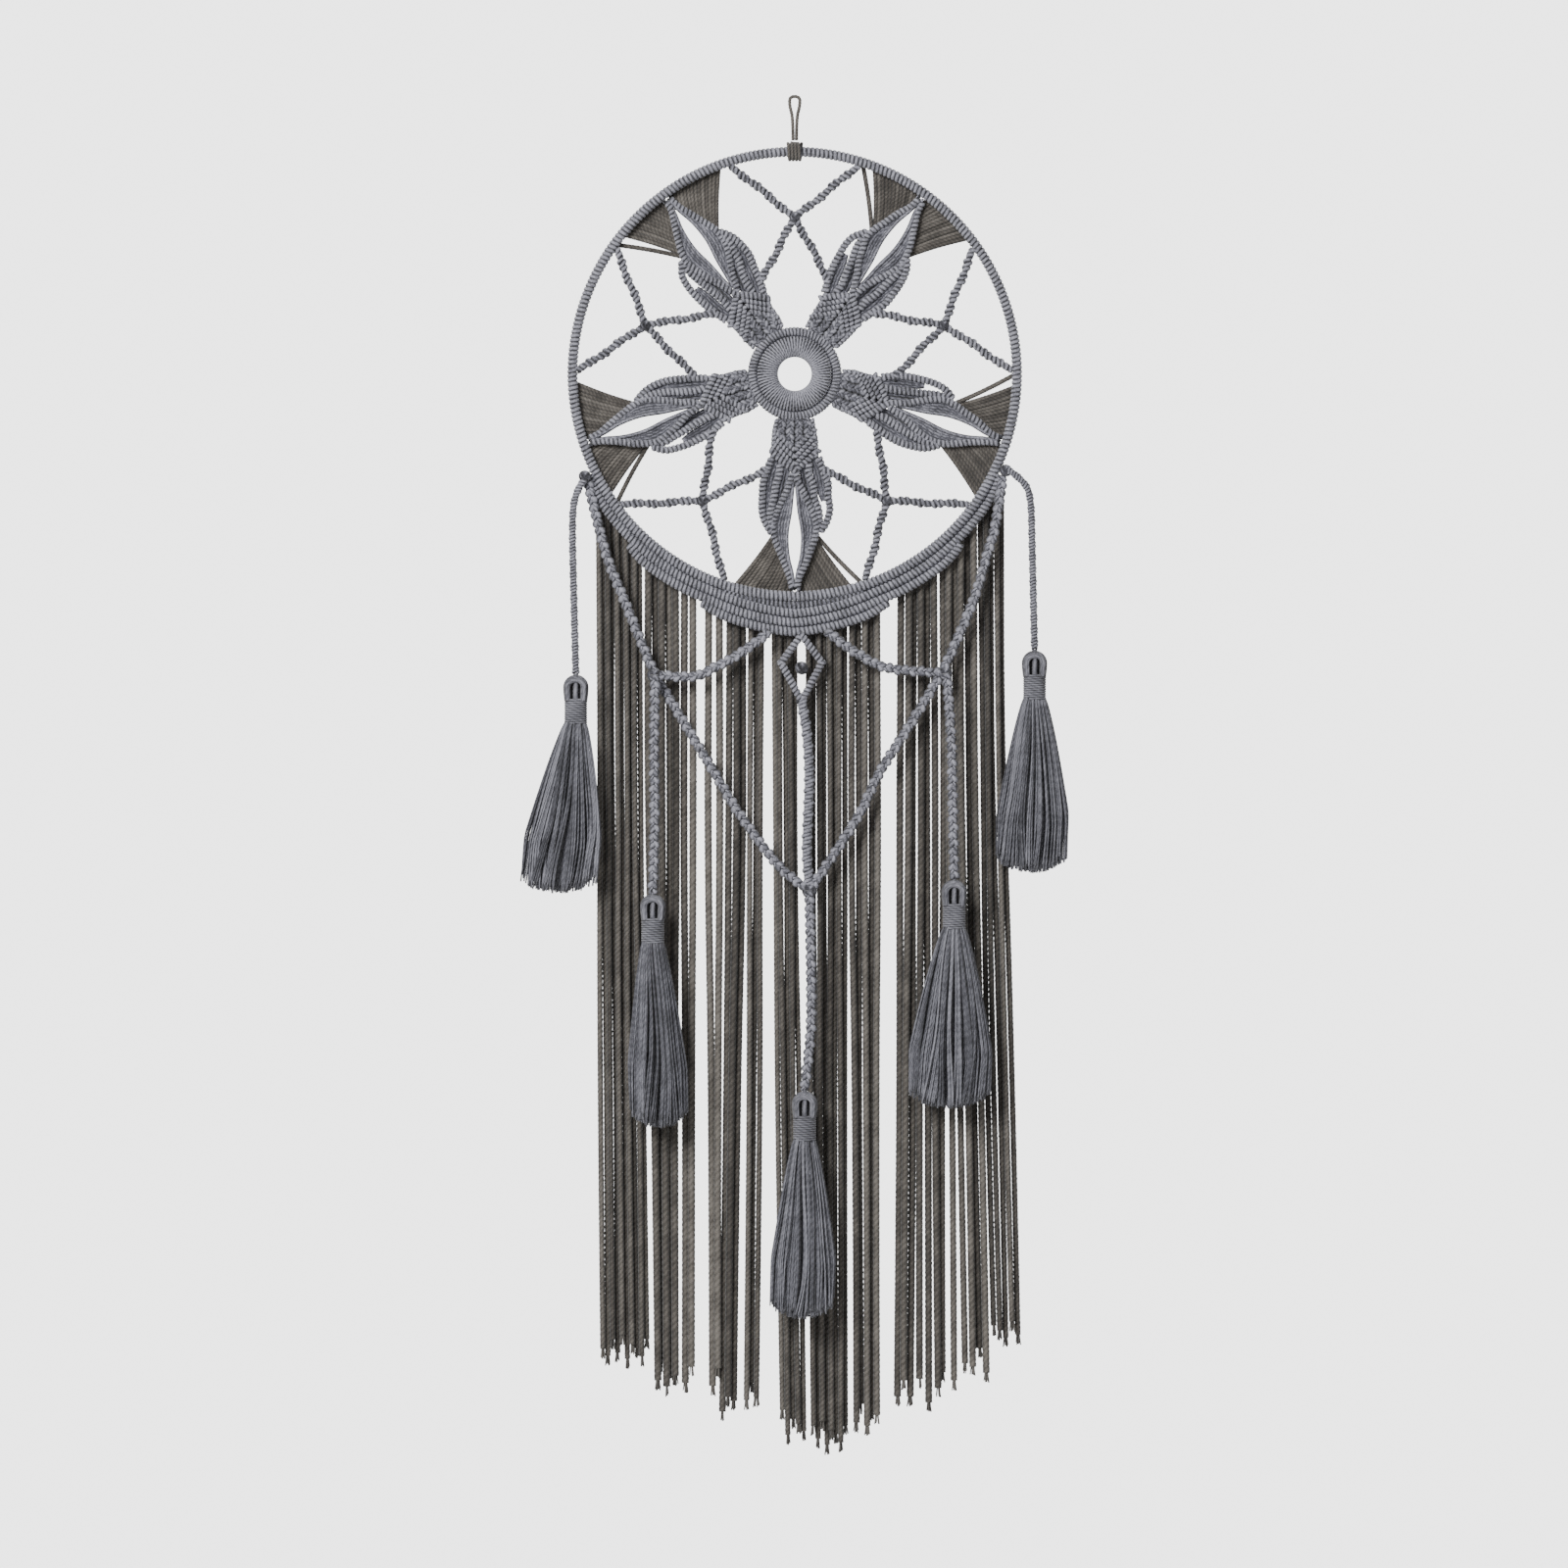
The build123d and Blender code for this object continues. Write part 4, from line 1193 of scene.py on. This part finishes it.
@dataclass(frozen=True)
class Tassel:
    """A cord and the tassel on it: looped head, wound neck and a skirt of threads."""

    name: str
    cord: str
    route: tuple
    cord_d: float
    cord_length: float
    skirt_length: float
    hem_left: float
    hem_right: float
    fine: bool = False
    head_r: float = 8.5
    head_height: float = 17.0
    neck_height: float = 15.5
    neck_r: float = 7.6
    eye_r: float = 1.7
    hem_half_depth: float = 8.5
    head_threads: int = 46
    dome_depth: float = 9.5  # the loops get lower towards the head's front and back
    dome_drop: float = 0.4
    stub: tuple = (1.7, 0.25)  # the cord's end over the head: its radius and how far it stands up
    loop_r: float = 5.6  # the middle loops, round the eye
    loop_spread: float = 2.2
    loop_depth: float = 6.6
    loop_thread_r: float = 0.8
    skirt_threads: int = 380
    locks: int = 24
    thread_r: float = 0.68

    def make(self, materials: dict, dice: np.random.Generator) -> list[bpy.types.Object]:
        line = nurbs_line(self.route)
        yarn = Yarn()
        if self.fine:
            FINE_SINNET.along(yarn, line, self.cord_d)
        else:
            SWAG_PLAIT.along(yarn, line, self.cord_d)
        cord = yarn.knit(f"{self.cord}_knots", FRONT_COTTON, materials)
        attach(cord, self.cord)
        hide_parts(self.cord)
        parts = [self.head(materials, dice), self.neck(materials), self.skirt(materials, dice)]
        for part, node in zip(parts, ("head", "binding", "skirt")):
            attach(part, self.name)
            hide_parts(f"{self.name}_{node}")
        return [cord, *parts]

    def heights(self) -> tuple[float, float, float]:
        """The top of the head, the top of the neck and its bottom."""
        top = self.route[-1][2] - SIZES.end_gap
        return top, top - self.head_height, top - self.head_height - self.neck_height

    def head(self, materials: dict, dice: np.random.Generator) -> bpy.types.Object:
        """Threads that loop over the cord's end, from one side of the neck to the other."""
        x, y, _ = self.route[-1]
        top, neck, _ = self.heights()
        eye_z = top - self.head_r
        turn = np.arange(self.head_threads) * GOLDEN_TURN
        out = np.sqrt((np.arange(self.head_threads) + 0.5) / self.head_threads)
        reach = self.loop_r + self.loop_spread * out * np.cos(turn)
        thin = np.sqrt(np.clip(1 - ((reach - 4) / 6.5) ** 2, 0.2, 1))
        depth = self.loop_depth * out * np.sin(turn) * thin
        bend = np.linspace(0, np.pi, 16)
        legs = np.linspace(0, 1, 9)[:-1]
        squeeze = self.neck_r / self.head_r
        left_x = -reach[:, None] * (squeeze + (1 - squeeze) * np.sin(legs * np.pi / 2))
        left_z = (neck - 1.0) + (eye_z - neck + 1.0) * legs[None] + 0 * reach[:, None]
        arc_x = -reach[:, None] * np.cos(bend)
        dome = np.sqrt(1 - (depth[:, None] / self.dome_depth) ** 2)
        arc_z = eye_z + (reach[:, None] * np.sin(bend) - self.dome_drop) * dome
        xs = np.concatenate([left_x, arc_x, -left_x[:, ::-1]], axis=1)
        zs = np.concatenate([left_z, arc_z, left_z[:, ::-1]], axis=1)
        ys = np.broadcast_to(depth[:, None], xs.shape)
        lines = np.stack([x + xs, y + ys, zs], axis=-1)
        yarn = Yarn()
        tones = 0.5 + dice.uniform(-0.16, 0.16, len(lines))
        yarn.sweep(lines, self.loop_thread_r, sides=6, tone=tones)
        down = np.linspace(top - 2.0, neck - 1.0, 16)
        cord_end = np.stack([0 * down + x, 0 * down + y - 3.4, down], axis=-1)
        yarn.sweep(cord_end, self.eye_r, sides=10, tone=0.55, plies=3, groove=0.12, ply_pitch=8.0)
        radius, rise = self.stub
        yarn.sweep(np.array([(x, y, top - 2 * radius), (x, y, top - radius), (x, y, top + rise)]), radius,
                   sides=10, tone=0.4)
        # A near-black cord behind the cord's end paints the shade inside the head.
        behind = cord_end + np.array((0, 4.4, -1.5))
        yarn.sweep(behind, 3.4, 4.2, sides=12, tone=0.0)
        return yarn.knit(f"{self.name}_loops", THREAD, materials)

    def neck(self, materials: dict) -> bpy.types.Object:
        """Thread wound round the neck."""
        x, y, _ = self.route[-1]
        _, start, end = self.heights()
        z = np.linspace(start, end, 40)
        axis = np.stack([0 * z + x, 0 * z + y, z], axis=-1)
        yarn = Yarn()
        coil = wind(axis, 1.5, self.neck_r - 0.5, self.neck_r - 0.5, 30)
        yarn.wound(coil, 0.78, 0.55, sides=6, tone=0.52)
        # The core under the winding is painted dark, as the shade between its turns.
        yarn.sweep(axis, self.neck_r - 0.9, sides=20, tone=0.15)
        return yarn.knit(f"{self.name}_winding", THREAD, materials)

    def skirt(self, materials: dict, dice: np.random.Generator) -> bpy.types.Object:
        """Threads that spread from the neck to a ragged hem, drawn together in slanting locks."""
        x, y, _ = self.route[-1]
        _, _, top = self.heights()
        count, steps = self.skirt_threads, 22
        turn = dice.uniform(0, TAU, count)
        out = dice.uniform(0, 1, count) ** 0.5
        middle, half = (self.hem_left + self.hem_right) / 2, (self.hem_right - self.hem_left) / 2
        down = np.linspace(0, 1, steps)[None]
        lock = np.floor(turn / TAU * self.locks)
        sway = dice.uniform(-1, 1, self.locks)[lock.astype(int)]
        phase = dice.uniform(0, TAU, self.locks)[lock.astype(int)]
        wide = self.neck_r - 0.8 + (half - self.neck_r) * np.minimum(down * 1.35, 1) ** 0.8
        deep = self.neck_r - 0.8 + (self.hem_half_depth - self.neck_r) * down
        pull = (lock + 0.5) / self.locks * TAU
        gather = turn[:, None] + (pull - turn)[:, None] * 0.55 * np.sin(np.pi * (0.15 + 0.7 * down))
        swirl = np.sin(TAU * 0.7 * down + phase[:, None])
        curl = 0.5 * down * (1 - down) + 0.2 * sway[:, None] * swirl * down
        xs = x + (middle - x) * down + out[:, None] * wide * np.cos(gather + curl)
        ys = y + out[:, None] * deep * np.sin(gather + curl)
        short = 0.07 * (out * np.cos(turn)) ** 2 + dice.uniform(-0.01, 0.05, count)
        zs = top + 0.8 - (self.skirt_length + 0.8) * down * (1 - short)[:, None]
        lines = np.stack([xs, ys, zs], axis=-1)
        taper = self.thread_r * (1 - 0.2 * down**3)
        tones = 0.47 + 0.16 * sway + dice.uniform(-0.12, 0.12, count)
        yarn = Yarn()
        yarn.sweep(lines, taper, sides=5, tone=tones)
        return yarn.knit(f"{self.name}_threads", THREAD, materials)


TASSELS = (
    Tassel("tassel_outer_left", "side_cord_left",
           ((-139.5, -8.5, -252.96), (-145, -9, -261.96), (-147, -9, -278.96), (-146, -8, -322.96),
            (-144.5, -8, -380.46)), 5.0, 129.0, 111.5, -182, -128, True),
    Tassel("tassel_inner_left", "braid_left",
           ((-92, -15, -383), (-93, -15, -430), (-92, -15, -478), (-93.5, -15, -525)),
           6.6, 142.0, 121.0, -109.5, -69),
    Tassel("tassel_centre", "braid_centre",
           ((9.7, -15, -525), (11.7, -15, -602), (9, -15, -635), (6.5, -15, -655)),
           6.6, 130.3, 117.0, -17.5, 27.5),
    Tassel("tassel_inner_right", "braid_right",
           ((100, -15, -382), (103.5, -15, -419), (104, -15, -470), (105, -15, -515.5)),
           6.6, 133.7, 118.0, 73, 130),
    Tassel("tassel_outer_right", "side_cord_right",
           ((140.5, -8.5, -245.96), (152.5, -9, -253.96), (156, -9, -266.96), (156.5, -8, -288.96),
            (158.3, -8, -364.46)), 5.0, 124.9, 114.0, 132, 181, True),
)


@dataclass(frozen=True)
class Lock:
    """Strands side by side: how many, where the first and last start and end, their end height."""

    count: int
    top_from: float
    top_to: float
    end_from: float
    end_to: float
    end_z: float


@dataclass(frozen=True)
class Fringe:
    """Plain strands that hang behind the rows, in five groups."""

    y: float = 5.4
    layer: float = 3.6
    # the most that fit beside the six other free cords
    declared: int = 34  # the first this many strands get the flag declared, which strand() doesn't read
    plies: int = 3
    ply_lean: float = 1.1  # ridges passed in one cord diameter, as in the cotton's finish
    bend_length: float = 55.0
    flat: tuple = (1.24, 0.95)  # a strand lies flat: its half width and half depth by its radius
    flat_most: float = 1.62  # the half width of a strand that stands far from the next one
    lap: float = 1.1  # neighbours lap over each other by a tenth
    tuck: float = 4.5  # how far a strand reaches up behind the rows
    tuck_in: float = 0.9  # how far forward its top leans
    step: float = 1.6
    tuft: float = 9.0
    tuft_r: float = 0.42
    tuft_threads: int = 9
    drifts: tuple = (0.9, -0.7, 0.4, -1.0, 0.7, -0.4, 1.0)
    ragged: tuple = (0, 5, -6, 3, -9, 7, -3)
    groups: tuple = (
        ("fringe_far_left", (Lock(10, -130.0, -103.0, -127.0, -98.0, -833),)),
        ("fringe_left", (Lock(5, -97.0, -79.0, -90.5, -79.0, -851), Lock(2, -73.0, -67.5, -72.5, -68.5, -851),
                         Lock(2, -57.0, -50.0, -54.5, -51.0, -855), Lock(3, -43.0, -34.5, -48.0, -40.5, -868),
                         Lock(3, -29.0, -22.0, -32.0, -25.5, -862))),
        ("fringe_centre", (Lock(5, -13.5, 0.0, -8.0, 6.0, -883), Lock(8, 9.0, 33.0, 12.5, 33.5, -890))),
        ("fringe_right", (Lock(2, 38.0, 42.0, 41.0, 44.0, -879), Lock(3, 46.5, 54.5, 48.0, 54.5, -877),
                          Lock(2, 70.5, 75.5, 68.0, 72.0, -860), Lock(4, 79.0, 92.0, 76.5, 95.0, -862))),
        ("fringe_far_right", (Lock(3, 98.0, 106.0, 98.0, 113.0, -849),
                              Lock(3, 110.0, 118.5, 118.0, 127.0, -842),
                              Lock(5, 123.0, 137.0, 132.0, 148.0, -821))),
    )

    def route(self, lock: Lock, i: int, order: int) -> list:
        """One strand's points, from under the rows down to its cut end."""
        share = i / (lock.count - 1)
        top_x = lock.top_from + (lock.top_to - lock.top_from) * share
        end_x = lock.end_from + (lock.end_to - lock.end_from) * share
        top_z = SIZES.row_edge(top_x) - SIZES.end_gap
        end_z = lock.end_z - self.ragged[order % len(self.ragged)]
        drift = self.drifts[order % len(self.drifts)]
        y = self.y + self.layer * (order % 2)
        return [
            (top_x + (end_x - top_x) * lean + drift * bow, y, top_z + (end_z - top_z) * down)
            for down, lean, bow in ((0, 0, 0), (0.3, 0.1, 1), (0.62, 0.5, -1), (1, 1, 0))
        ]

    def make(self, materials: dict, dice: np.random.Generator) -> list[bpy.types.Object]:
        made = []
        for name, locks in self.groups:
            first = len(made)
            for lock in locks:
                pitch = (lock.top_to - lock.top_from) / (lock.count - 1)
                width = float(np.clip(self.lap * pitch / SIZES.cord_d, self.flat[0], self.flat_most))
                for i in range(lock.count):
                    route = self.route(lock, i, len(made))
                    made.append(self.strand(name, len(made) - first + 1, route, width, materials, dice,
                                            len(made) < self.declared))
            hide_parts(name)
            LOG.info("%s: %d strands", name, len(made) - first)
        return made

    def strand(self, group: str, number: int, route: list, width: float, materials: dict,
               dice: np.random.Generator, declared: bool) -> bpy.types.Object:
        """Makes one strand with its frayed end.

        Args:
            group: The strand's body.
            number: Its number in the group, from 1.
            route: Its points.
            width: Its half width by its radius.
            materials: The materials made so far.
            dice: The seeded source of small differences.
            declared: Not used.

        Returns:
            The strand.
        """
        x, y, z = route[0]
        line = nurbs_line([(x, y - self.tuck_in, z + self.tuck), *route])
        length = arc_length(line)[-1]
        radius = SIZES.cord_d / 2
        count = int(length / self.step)
        body = at_lengths(line, np.linspace(0, length - self.tuft * 0.6, count))
        yarn = Yarn()
        tone = 0.44 + dice.uniform(-0.2, 0.18)
        yarn.sweep(body, radius * width, radius * self.flat[1], sides=8, tone=tone,
                   plies=self.plies, groove=0.07,
                   ply_pitch=self.plies * SIZES.cord_d / self.ply_lean)
        down = np.linspace(0, 1, 7)[None, :, None]
        turn = dice.uniform(0, TAU, self.tuft_threads)
        reach = dice.uniform(0.3, 1.0, self.tuft_threads)[:, None, None]
        way = np.stack([np.cos(turn), np.sin(turn), 0 * turn], axis=-1)[:, None]
        root = at_lengths(line, length - self.tuft + self.tuft * down[0, :, 0])
        drop = dice.uniform(-1.5, 0.8, self.tuft_threads)[:, None, None] * np.array((0, 0, 1.0)) * down
        threads = root[None] + way * reach * (0.7 * radius + 1.0 * down**2) + drop
        yarn.sweep(threads, self.tuft_r, sides=4, tone=tone + 0.08)
        made = yarn.knit(f"{group}_strand_{number:02d}", BACK_COTTON, materials)
        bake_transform(made)
        return made


@dataclass(frozen=True)
class Studio:
    """The camera, the floor and the soft light, in metres."""

    lens: float = 135.0
    distance: float = 3.889
    aim: tuple = (-0.0071, 0.0, -0.4536)
    floor_z: float = -1.5
    floor_half: float = 1.2
    key_power: float = 78.0
    fill_power: float = 5.0
    back_power: float = 65.0
    room_light: float = 0.2
    room_seen: float = 3.4

    def camera(self) -> None:
        """Sets the camera square to the hoop."""
        data = bpy.data.cameras.new("front_camera")
        data.lens, data.sensor_width = self.lens, 36.0
        data.clip_end = 50.0
        holder = bpy.data.objects.new("front_camera", data)
        bpy.context.scene.collection.objects.link(holder)
        holder.location = (self.aim[0], -self.distance, self.aim[2])
        holder.rotation_euler = (np.pi / 2, 0, 0)
        bpy.context.scene.camera = holder

    def light(self) -> None:
        """Makes the white room, the key from the upper left, a weak fill and a light behind."""
        world = bpy.data.worlds.new("white_room")
        world.use_nodes = True
        back = world.node_tree.nodes["Background"]
        back.inputs["Color"].default_value = (1, 1, 1, 1)
        ray = add_node(world.node_tree, "ShaderNodeLightPath", {}, {})
        add_level = {"To Min": self.room_light, "To Max": self.room_seen}
        level = add_node(world.node_tree, "ShaderNodeMapRange", add_level,
                         {"Value": ray.outputs["Is Camera Ray"]})
        world.node_tree.links.new(level.outputs[0], back.inputs["Strength"])
        bpy.context.scene.world = world
        for name, power, size, spot in (
            ("key_light", self.key_power, 1.2, (-1.3, -2.2, 0.9)),
            ("fill_light", self.fill_power, 1.6, (1.6, -2.4, -0.5)),
            ("back_light", self.back_power, 1.6, (1.2, 2.4, 0.8)),
        ):
            data = bpy.data.lights.new(name, "AREA")
            data.energy, data.size = power, size
            holder = bpy.data.objects.new(name, data)
            bpy.context.scene.collection.objects.link(holder)
            holder.location = spot
            way = np.array(self.aim) - np.array(spot)
            flat = np.hypot(way[0], way[1])
            holder.rotation_euler = (np.arctan2(flat, -way[2]), 0, np.arctan2(way[1], way[0]) - np.pi / 2)

    def floor(self) -> None:
        """Lays a pale painted floor far under the object."""
        paint = bpy.data.materials.new("pale_floor_paint")
        paint.use_nodes = True
        shader = paint.node_tree.nodes["Principled BSDF"]
        shader.inputs["Base Color"].default_value = linear("e8e8e6")
        place = add_node(paint.node_tree, "ShaderNodeTexCoord", {}, {})
        speck = add_node(paint.node_tree, "ShaderNodeTexNoise", {"Scale": 60.0},
                         {"Vector": place.outputs["Object"]})
        rough = add_node(paint.node_tree, "ShaderNodeMapRange", {"To Min": 0.55, "To Max": 0.75},
                         {"Value": speck.outputs[0]})
        paint.node_tree.links.new(rough.outputs[0], shader.inputs["Roughness"])
        mesh = bpy.data.meshes.new("floor")
        half, z = self.floor_half, self.floor_z
        mesh.from_pydata([(-half, -half, z), (half, -half, z), (half, half, z), (-half, half, z)], [],
                         [(0, 1, 2, 3)])
        mesh.materials.append(paint)
        made = bpy.data.objects.new("floor", mesh)
        bpy.context.scene.collection.objects.link(made)


def main() -> None:
    """Makes the camera and the free cords first, then the knotted parts and the light."""
    logging.basicConfig(level=logging.INFO, format="%(message)s")
    dice = np.random.default_rng(SEED)
    materials: dict = {}
    studio = Studio()
    studio.camera()
    hanger = Hanger()
    hanger.loop(materials)
    for tassel in TASSELS:
        tassel.make(materials, dice)
        LOG.info("%s made", tassel.name)
    Fringe().make(materials, dice)
    hanger.knot(materials)
    fixed = Hoop().make(materials) + Medallion().make(materials) + Swags().make(materials)
    for k in range(5):
        down, up = -90 + 72 * k, 90 + 72 * k
        fixed.append(Petal().make(k + 1, down, materials, dice))
        fixed.append(Fan().make(k + 1, down, materials, dice))
        fixed.append(NetCross().make(k + 1, up, materials, dice))
    for piece in fixed:
        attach(piece, "hoop")
        LOG.info("%s: %d faces", piece.name, len(piece.data.polygons))
    studio.light()
    studio.floor()


if __name__ == "__main__":
    main()
